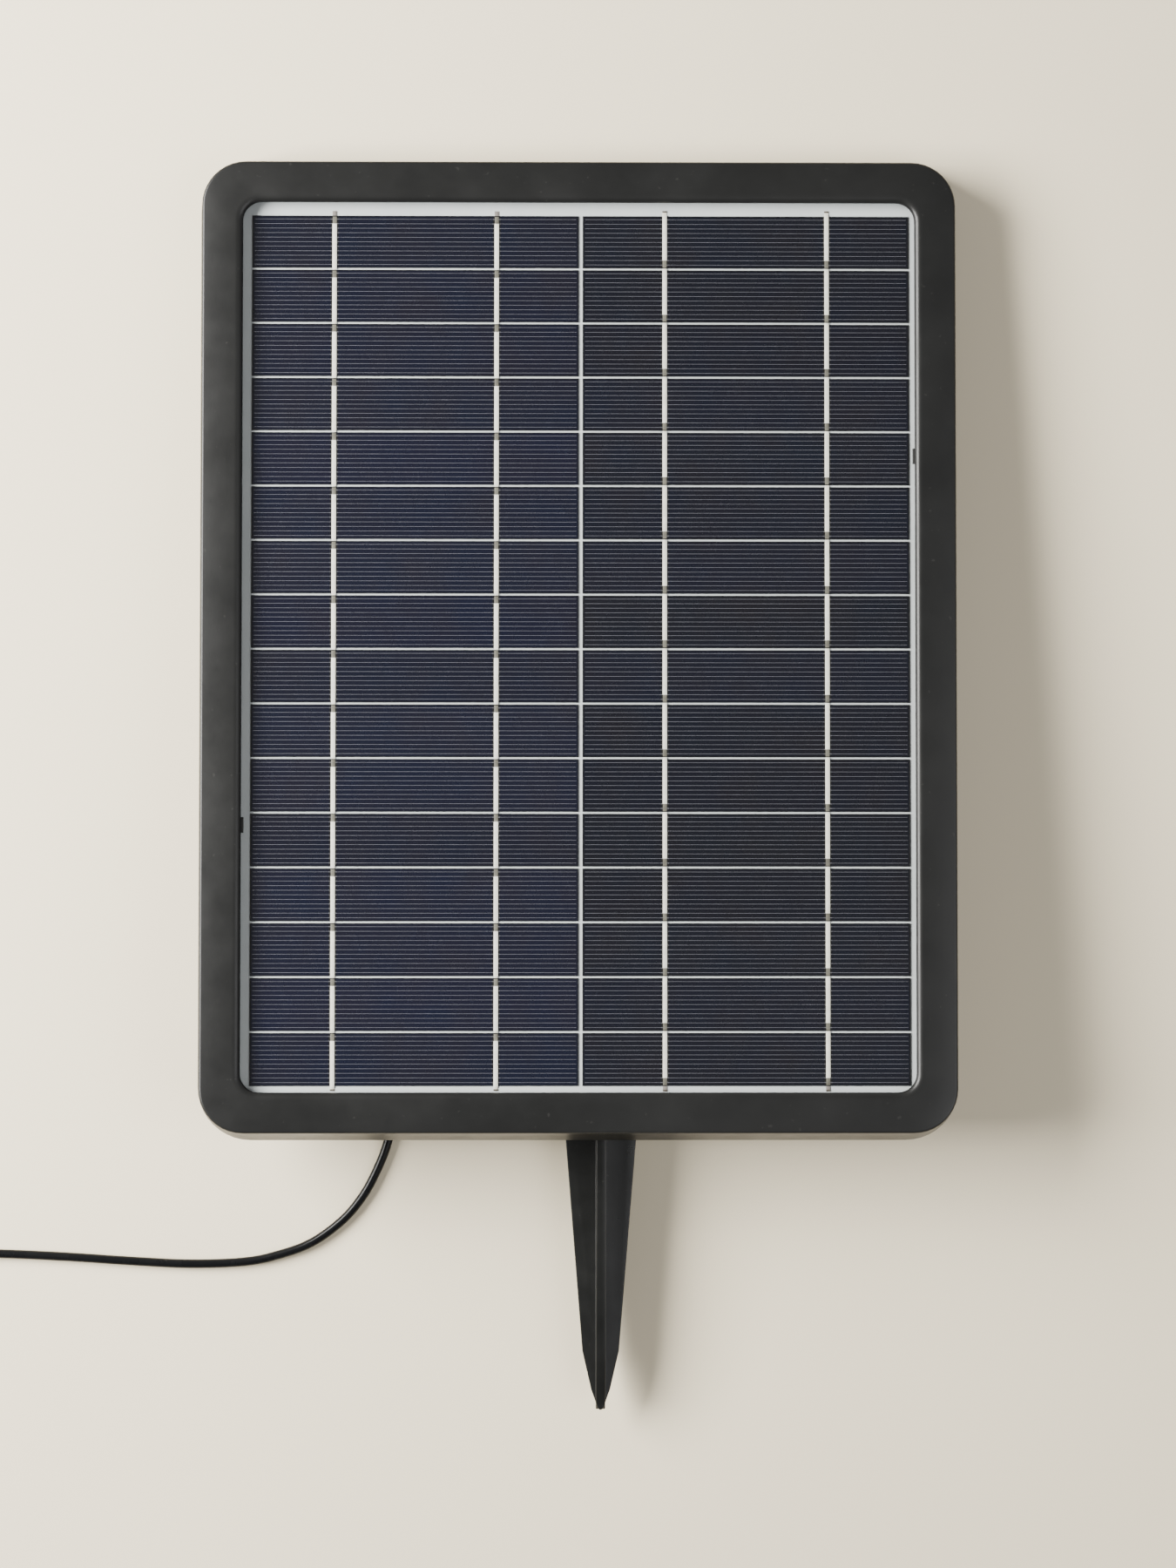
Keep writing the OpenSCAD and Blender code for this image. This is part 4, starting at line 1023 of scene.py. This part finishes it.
settle(bracket, bracket_plastic, replaces=("hinge_bracket",))
bracket_screw = moved(pan_screw("bracket_screw", 4.5, 2.6, 2.4, 3), z=-22.0)
bracket_places = [(x, HINGE_LOW + y, 0) for x in (-25, 25) for y in (-15, 15)]
bracket_screws = repeat(bracket_screw, bracket_places, "hinge_screws")
settle(bracket_screws, screw_steel, replaces=("bracket_screws",))

# %% [markdown]
# The bolt runs through both lugs, with its hexagon trapped in the bracket. A friction disc
# lies between the lugs, a washer under the knob. They are simple turned parts whose charm
# is in their finish: zinc plate on steel, brown fibre for the disc.

# %% Bolt, disc and washer
bolt_zinc = finish(
    "bolt_zinc", (0.55, 0.55, 0.56), (0.44, 0.44, 0.46), 0.3, 0.3, 0.25, drift_mm=6, metal=0.95
)
fibre = finish("fibre_disc", (0.12, 0.075, 0.045), (0.09, 0.055, 0.035), 0.75, 0.4, 0.6, drift_mm=4)
hinge_y, hinge_z = HINGE.y / MM, HINGE.z / MM


def on_hinge(name, r, l, x, sides=32):
    """A cylinder along the hinge bolt that starts at x, in millimetres."""
    return rod(name, r, l, x=x, y=hinge_y, z=hinge_z, sides=sides, axis="X")


bolt = on_hinge("hinge_bolt", 2.95, 36.4, -4.0)
head = on_hinge("bolt_head", 10 / math.sqrt(3), 4, -4.55, 6)
joined(bolt, head)
soften(bolt, 0.3, 2, 40)
settle(bolt, bolt_zinc, replaces=("clamp_bolt",), place=None)


def ring_x(name, r, hole, thick, x):
    """A flat ring round the hinge bolt."""
    piece = on_hinge(name, r, thick, x, 48)
    cut(piece, on_hinge("hole", hole, thick + 2, x - 1))
    soften(piece, 0.15, 2, 50)
    return piece


settle(
    ring_x("friction_ring", 12, 3.25, 1.0, 5.0), fibre,
    replaces=("friction_disc",), place=None
)
settle(
    ring_x("knob_ring", 9, 3.1, 1.2, 16.16), bolt_zinc, body="clamp",
    replaces=("knob_washer",), place=None
)

# %% [markdown]
# The knob is a five-lobed grip for finger and thumb. A cylinder gets five shallow waves
# round its rim by moving its points in and out, and both ends are bevelled
# soft. A shallow recess in its cap hides the end of the insert.

# %% Knob
knob_plastic = finish(
    "knob_plastic", (0.014, 0.014, 0.015), (0.018, 0.018, 0.019), 0.4, 0.5, 0.35, drift_mm=14,
    speck=0.08
)
knob = on_hinge("knob_grip", 13.8, 18, 17.41, 100)
centre = Vector((0, hinge_y * MM, hinge_z * MM))
LOBES = 5
WAVE = 0.055
for vertex in knob.data.vertices:
    y, z = vertex.co.y - centre.y, vertex.co.z - centre.z
    wave = 1 - WAVE * (1 + math.cos(LOBES * math.atan2(z, y)))
    vertex.co.y = centre.y + y * wave
    vertex.co.z = centre.z + z * wave
pick(knob, "FACE", lambda f: f.normal.x > FACING)
bpy.ops.mesh.inset(thickness=3.2 * MM)
bpy.ops.mesh.inset(thickness=0.5 * MM, depth=-0.6 * MM)
close_edit()
soften(knob, 1.1, 4, 55)
cut(knob, on_hinge("bore", 5.0, 13.0, 17.3, 48))
settle(knob, knob_plastic, body="knob", replaces=("clamp_knob",), place=None)

# %% [markdown]
# The stake head swings on the bolt: a lug, a short neck, a broad collar that rests on the
# table, and a square peg that the spike is pushed on to. All of it is one black moulding,
# joined from simple solids and then bevelled all over.

# %% Stake head
spike_plastic = finish(
    "spike_plastic", (0.0055, 0.0058, 0.0056), (0.0078, 0.0080, 0.0076), 0.33, 0.45, 0.25,
    drift_mm=35, speck=0.06, sheen=0.34
)
sx = SPIKE_X / MM
LUG_X = 6.08
stake = on_hinge("stake_lug", 14, 10, LUG_X, 64)


def hinge_box(name, w, d, h, y_far, z=None):
    """A box on the spike's axis that ends y_far below the hinge, in millimetres."""
    middle = hinge_z if z is None else z
    return box(name, w, d, h, x=sx, y=hinge_y - y_far + d / 2, z=middle + h / 2)


joined(stake, hinge_box("tongue", 10, 20, 20, 20))
joined(stake, hinge_box("neck", 24, 31.5, 20, 50.5))
joined(stake, hinge_box("collar", 44, 6, 31.8, 56))
joined(stake, hinge_box("peg", 16, 30.5, 16, 86))
for side in (-1, 1):
    cut(stake, hinge_box("pocket", 16, 25, 5.1, 47, z=hinge_z + side * 10.05))
cut(stake, on_hinge("hole", 3.03, 14, 4))
soften(stake, 0.6, 2, 50)
settle(stake, spike_plastic, body="stake", replaces=("stake_head",), place=None)

# %% [markdown]
# The spike is a cross of two tapering ribs, the wide one flat and the other upright, with
# a square socket at its root that fits on the peg. Each rib is a box whose far end is
# extruded and narrowed step by step to the point, as a smith draws out a bar.

# %% Spike
ROOT_Y = hinge_y - 56.3
TIP_Y = POINT_Y / MM
RIB_T = 4.6


def rib(name, stations, thick, upright):
    """A tapering rib from (y, half width) stations, root first, extruded to the point."""
    y0, half0 = stations[0]
    piece = box(name, 2 * half0, 1, thick, x=sx, y=y0 - 0.5, z=hinge_z + thick / 2)
    half = half0
    y = y0 - 1
    for y_next, half_next in stations[1:]:
        end = (sx * MM, y_next * MM, hinge_z * MM)
        pick(piece, "FACE", lambda f: f.normal.y < -FACING)
        step = {"value": (0, (y_next - y) * MM, 0)}
        bpy.ops.mesh.extrude_region_move(TRANSFORM_OT_translate=step)
        bpy.ops.transform.resize(value=(half_next / half, 1, 1), center_override=end)
        half, y = half_next, y_next
    if upright:
        pick_all(piece)
        bpy.ops.transform.rotate(value=math.pi / 2, orient_axis="Y", center_override=end)
    close_edit()
    return piece


# The ribs narrow evenly to the shoulder and fast from there to the point. The upright one
# is capped near its root, which keeps it off the table.
SHOULDER_Y = TIP_Y + 29
SHOULDER = 8.9
SLOPE = 0.0785
CAP = 15
point = [(SHOULDER_Y, SHOULDER), (TIP_Y + 10.15, 4.63), (TIP_Y + 1, 1.4), (TIP_Y, 0.6)]
root_half = SHOULDER + (ROOT_Y - SHOULDER_Y) * SLOPE
flat_rib = rib("spike_cross", [(ROOT_Y, root_half)] + point, RIB_T, False)
cap_y = SHOULDER_Y + (CAP - SHOULDER) / SLOPE
upright_rib = rib("upright", [(ROOT_Y, CAP), (cap_y, CAP)] + point, RIB_T, True)
joined(flat_rib, upright_rib)
joined(flat_rib, box("socket", 25, 36, 25, x=sx, y=ROOT_Y - 18, z=hinge_z + 12.5))
cut(flat_rib, box("mouth", 16.2, 31, 16.2, x=sx, y=ROOT_Y - 15, z=hinge_z + 8.1))
soften(flat_rib, 0.6, 3, 40)
settle(
    flat_rib, spike_plastic, body="spike", replaces=("ground_spike",),
    place=None
)

# %% [markdown]
# The tie is a flat strap of black nylon pulled round the bundle of turns, with a small
# head where its tail is locked. It is a square loop bent round the bundle's section, made
# by bridging an outer and an inner outline.

# %% Coil tie
tie_nylon = finish(
    "tie_nylon", (0.02, 0.02, 0.021), (0.026, 0.026, 0.027), 0.42, 0.4, 0.25, drift_mm=6
)
tie = skin(
    "coil_strap",
    [(23.0, 18.3, 6, -3), (24.4, 19.7, 6.7, -3), (24.4, 19.7, 6.7, 3), (23.0, 18.3, 6, 3)],
    ring=True
)
lock = box("lock", 5, 1.6, 6.4, x=4.5, y=10.4, z=3.2)
joined(tie, lock)
soften(tie, 0.15, 2, 50)
tie_place = (
    Matrix.Translation((COIL_X * MM, COIL_Y * MM, (COIL_Z + 9) * MM))
    @ Matrix.Rotation(math.radians(60), 4, "Z")
    @ Matrix.Translation((COIL_MID * MM, 0, 0))
    @ Matrix.Rotation(math.radians(90), 4, "X")
)
settle(tie, tie_nylon, replaces=("coil_tie",), place=tie_place)

# %% [markdown]
# The plug is a moulded grip with a ribbed neck and a nickel barrel. It is turned in one
# section, spun round its axis, and the ribs of the neck spare the lead where it enters.

# %% Plug
plug_low, plug_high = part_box("plug_grip")
plug_at = (plug_low + plug_high) / 2
plug_plastic = finish(
    "plug_plastic", (0.016, 0.016, 0.017), (0.021, 0.021, 0.022), 0.4, 0.4, 0.3, drift_mm=8
)
plug_section = [(0, 2.3), (0, 3.0)]
for k in range(4):
    for on, r in ((1.0, 3.1), (1.9, 3.1), (2.0, 2.7), (2.8, 2.7)):
        plug_section.append((on + 2 * k, r + 0.3 * k))
plug_section += [
    (9.2, 4.4), (10.5, 4.95), (25.6, 5.0), (26.6, 4.7), (27, 4.1), (27, 2.7), (24, 2.3)
]
plug = turned("plug_body", plug_section)
plug = moved(plug, plug_at.x / MM, plug_low.y / MM, plug_at.z / MM)
settle(plug, plug_plastic, replaces=("plug_grip",), place=None)
nickel = finish(
    "plug_nickel", (0.72, 0.70, 0.66), (0.6, 0.58, 0.55), 0.22, 0.3, 0.1, drift_mm=3, metal=1.0
)
barrel_low, barrel_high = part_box("plug_barrel")
barrel = turned("plug_tip", [(0, 2.42), (0, 2.75), (9.2, 2.75), (9.5, 2.6), (9.5, 2.42)])
barrel = moved(barrel, plug_at.x / MM, barrel_low.y / MM, plug_at.z / MM)
settle(barrel, nickel, replaces=("plug_barrel",), place=None)
print("plug from y", round(plug_low.y, 4), "to", round(barrel_high.y, 4))

# %% [markdown]
# Some parts of the model are never seen from outside: the board, the diode, the terminals
# and the wires inside the box, the inserts in the plastic. Their shapes come straight from
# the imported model, and each still gets a real finish, because a lid can be taken off.

# %% Finishes for the inner parts
brass = finish(
    "insert_brass", (0.62, 0.45, 0.2), (0.5, 0.35, 0.15), 0.32, 0.3, 0.2, drift_mm=4, metal=1.0
)
inner = {
    "bus_ribbons": tinned,
    "output_tabs": tinned,
    "box_adhesive": finish(
        "adhesive_bead", (0.05, 0.05, 0.05), (0.07, 0.07, 0.07), 0.5, 1.0, 0.4, drift_mm=8
    ),
    "lid_gasket": gasket_rubber,
    "circuit_board": finish(
        "board_green", (0.02, 0.11, 0.05), (0.03, 0.14, 0.06), 0.35, 0.8, 0.2, drift_mm=5,
        coat=0.3
    ),
    "board_screws": screw_steel,
    "blocking_diode": finish(
        "diode_epoxy", (0.015, 0.015, 0.015), (0.02, 0.02, 0.02), 0.4, 0.4, 0.3, drift_mm=3
    ),
    "terminal_block": finish(
        "terminal_nylon", (0.05, 0.22, 0.1), (0.06, 0.27, 0.12), 0.45, 0.5, 0.2, drift_mm=4
    ),
    "core_wires": finish(
        "core_pvc", (0.45, 0.03, 0.02), (0.36, 0.02, 0.015), 0.35, 0.4, 0.15, drift_mm=4
    ),
    "gland_locknut": gland_plastic,
    "bracket_inserts": brass,
    "knob_insert": brass,
    "plug_insulator": finish(
        "insulator_nylon", (0.03, 0.03, 0.03), (0.04, 0.04, 0.04), 0.5, 0.3, 0.2, drift_mm=3
    ),
}
for node, material in inner.items():
    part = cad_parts[node]
    if part.material_slots:
        for slot in part.material_slots:
            slot.material = material
    else:
        part.data.materials.append(material)
print(len(inner), "inner parts finished")

# %% [markdown]
# The table is a plain pale surface, warm beige, and large enough to fill any view. A very
# soft mottle keeps it from looking like a computed plane. It belongs to the stage, not to
# the panel.

# %% Table
bench_clear()
bpy.ops.mesh.primitive_plane_add(size=12, location=(0, 0, 0))
table = bpy.context.active_object
table.name = "table"
pick_all(table)
bpy.ops.mesh.subdivide(number_cuts=8)
close_edit()
paint = finish(
    "table_paint", (0.81, 0.715, 0.53), (0.795, 0.70, 0.515), 0.7, 1.5, 0.03, drift_mm=400,
    rough_drift=0.03
)
wear(table, paint)
print("table", len(table.data.polygons), "faces")

# %% [markdown]
# The light is a big soft window low on the left, which throws the soft shadow to the
# right, a weaker fill from the other side, and a room all round. The room is dim overhead,
# so the glass mirrors little of it, and pale at eye level, where the side walls face it.

# %% Light
world = bpy.data.worlds.new("room")
scene.world = world
world.use_nodes = True
tree = world.node_tree
room = tree.nodes["Background"]
room.inputs["Color"].default_value = (1.0, 0.98, 0.95, 1)
toward = tree.nodes.new("ShaderNodeTexCoord")
upward = tree.nodes.new("ShaderNodeSeparateXYZ")
tree.links.new(toward.outputs["Generated"], upward.inputs["Vector"])
dimmed = remap(tree, upward.outputs["Z"], 0.0, 0.55, 0.9, 0.16, "SMOOTHSTEP")
tree.links.new(dimmed, room.inputs["Strength"])


def window(name, place, aim, width, height, power, colour):
    """A rectangular area lamp that faces a point."""
    bench_clear()
    bpy.ops.object.light_add(type="AREA", location=place)
    lamp = bpy.context.active_object
    lamp.name = name
    lamp.data.shape = "RECTANGLE"
    lamp.data.size = width
    lamp.data.size_y = height
    lamp.data.energy = power
    lamp.data.color = colour
    lamp.rotation_euler = (Vector(aim) - Vector(place)).to_track_quat("-Z", "Y").to_euler()
    return lamp


window("window_light", (-1.35, 0.36, 0.88), (0, 0, 0), 1.3, 0.75, 145, (1.0, 0.985, 0.95))
window("fill_light", (1.7, -0.5, 2.2), (0, 0, 0), 1.8, 1.8, 38, (0.98, 0.985, 1.0))
print("two lamps and a room")
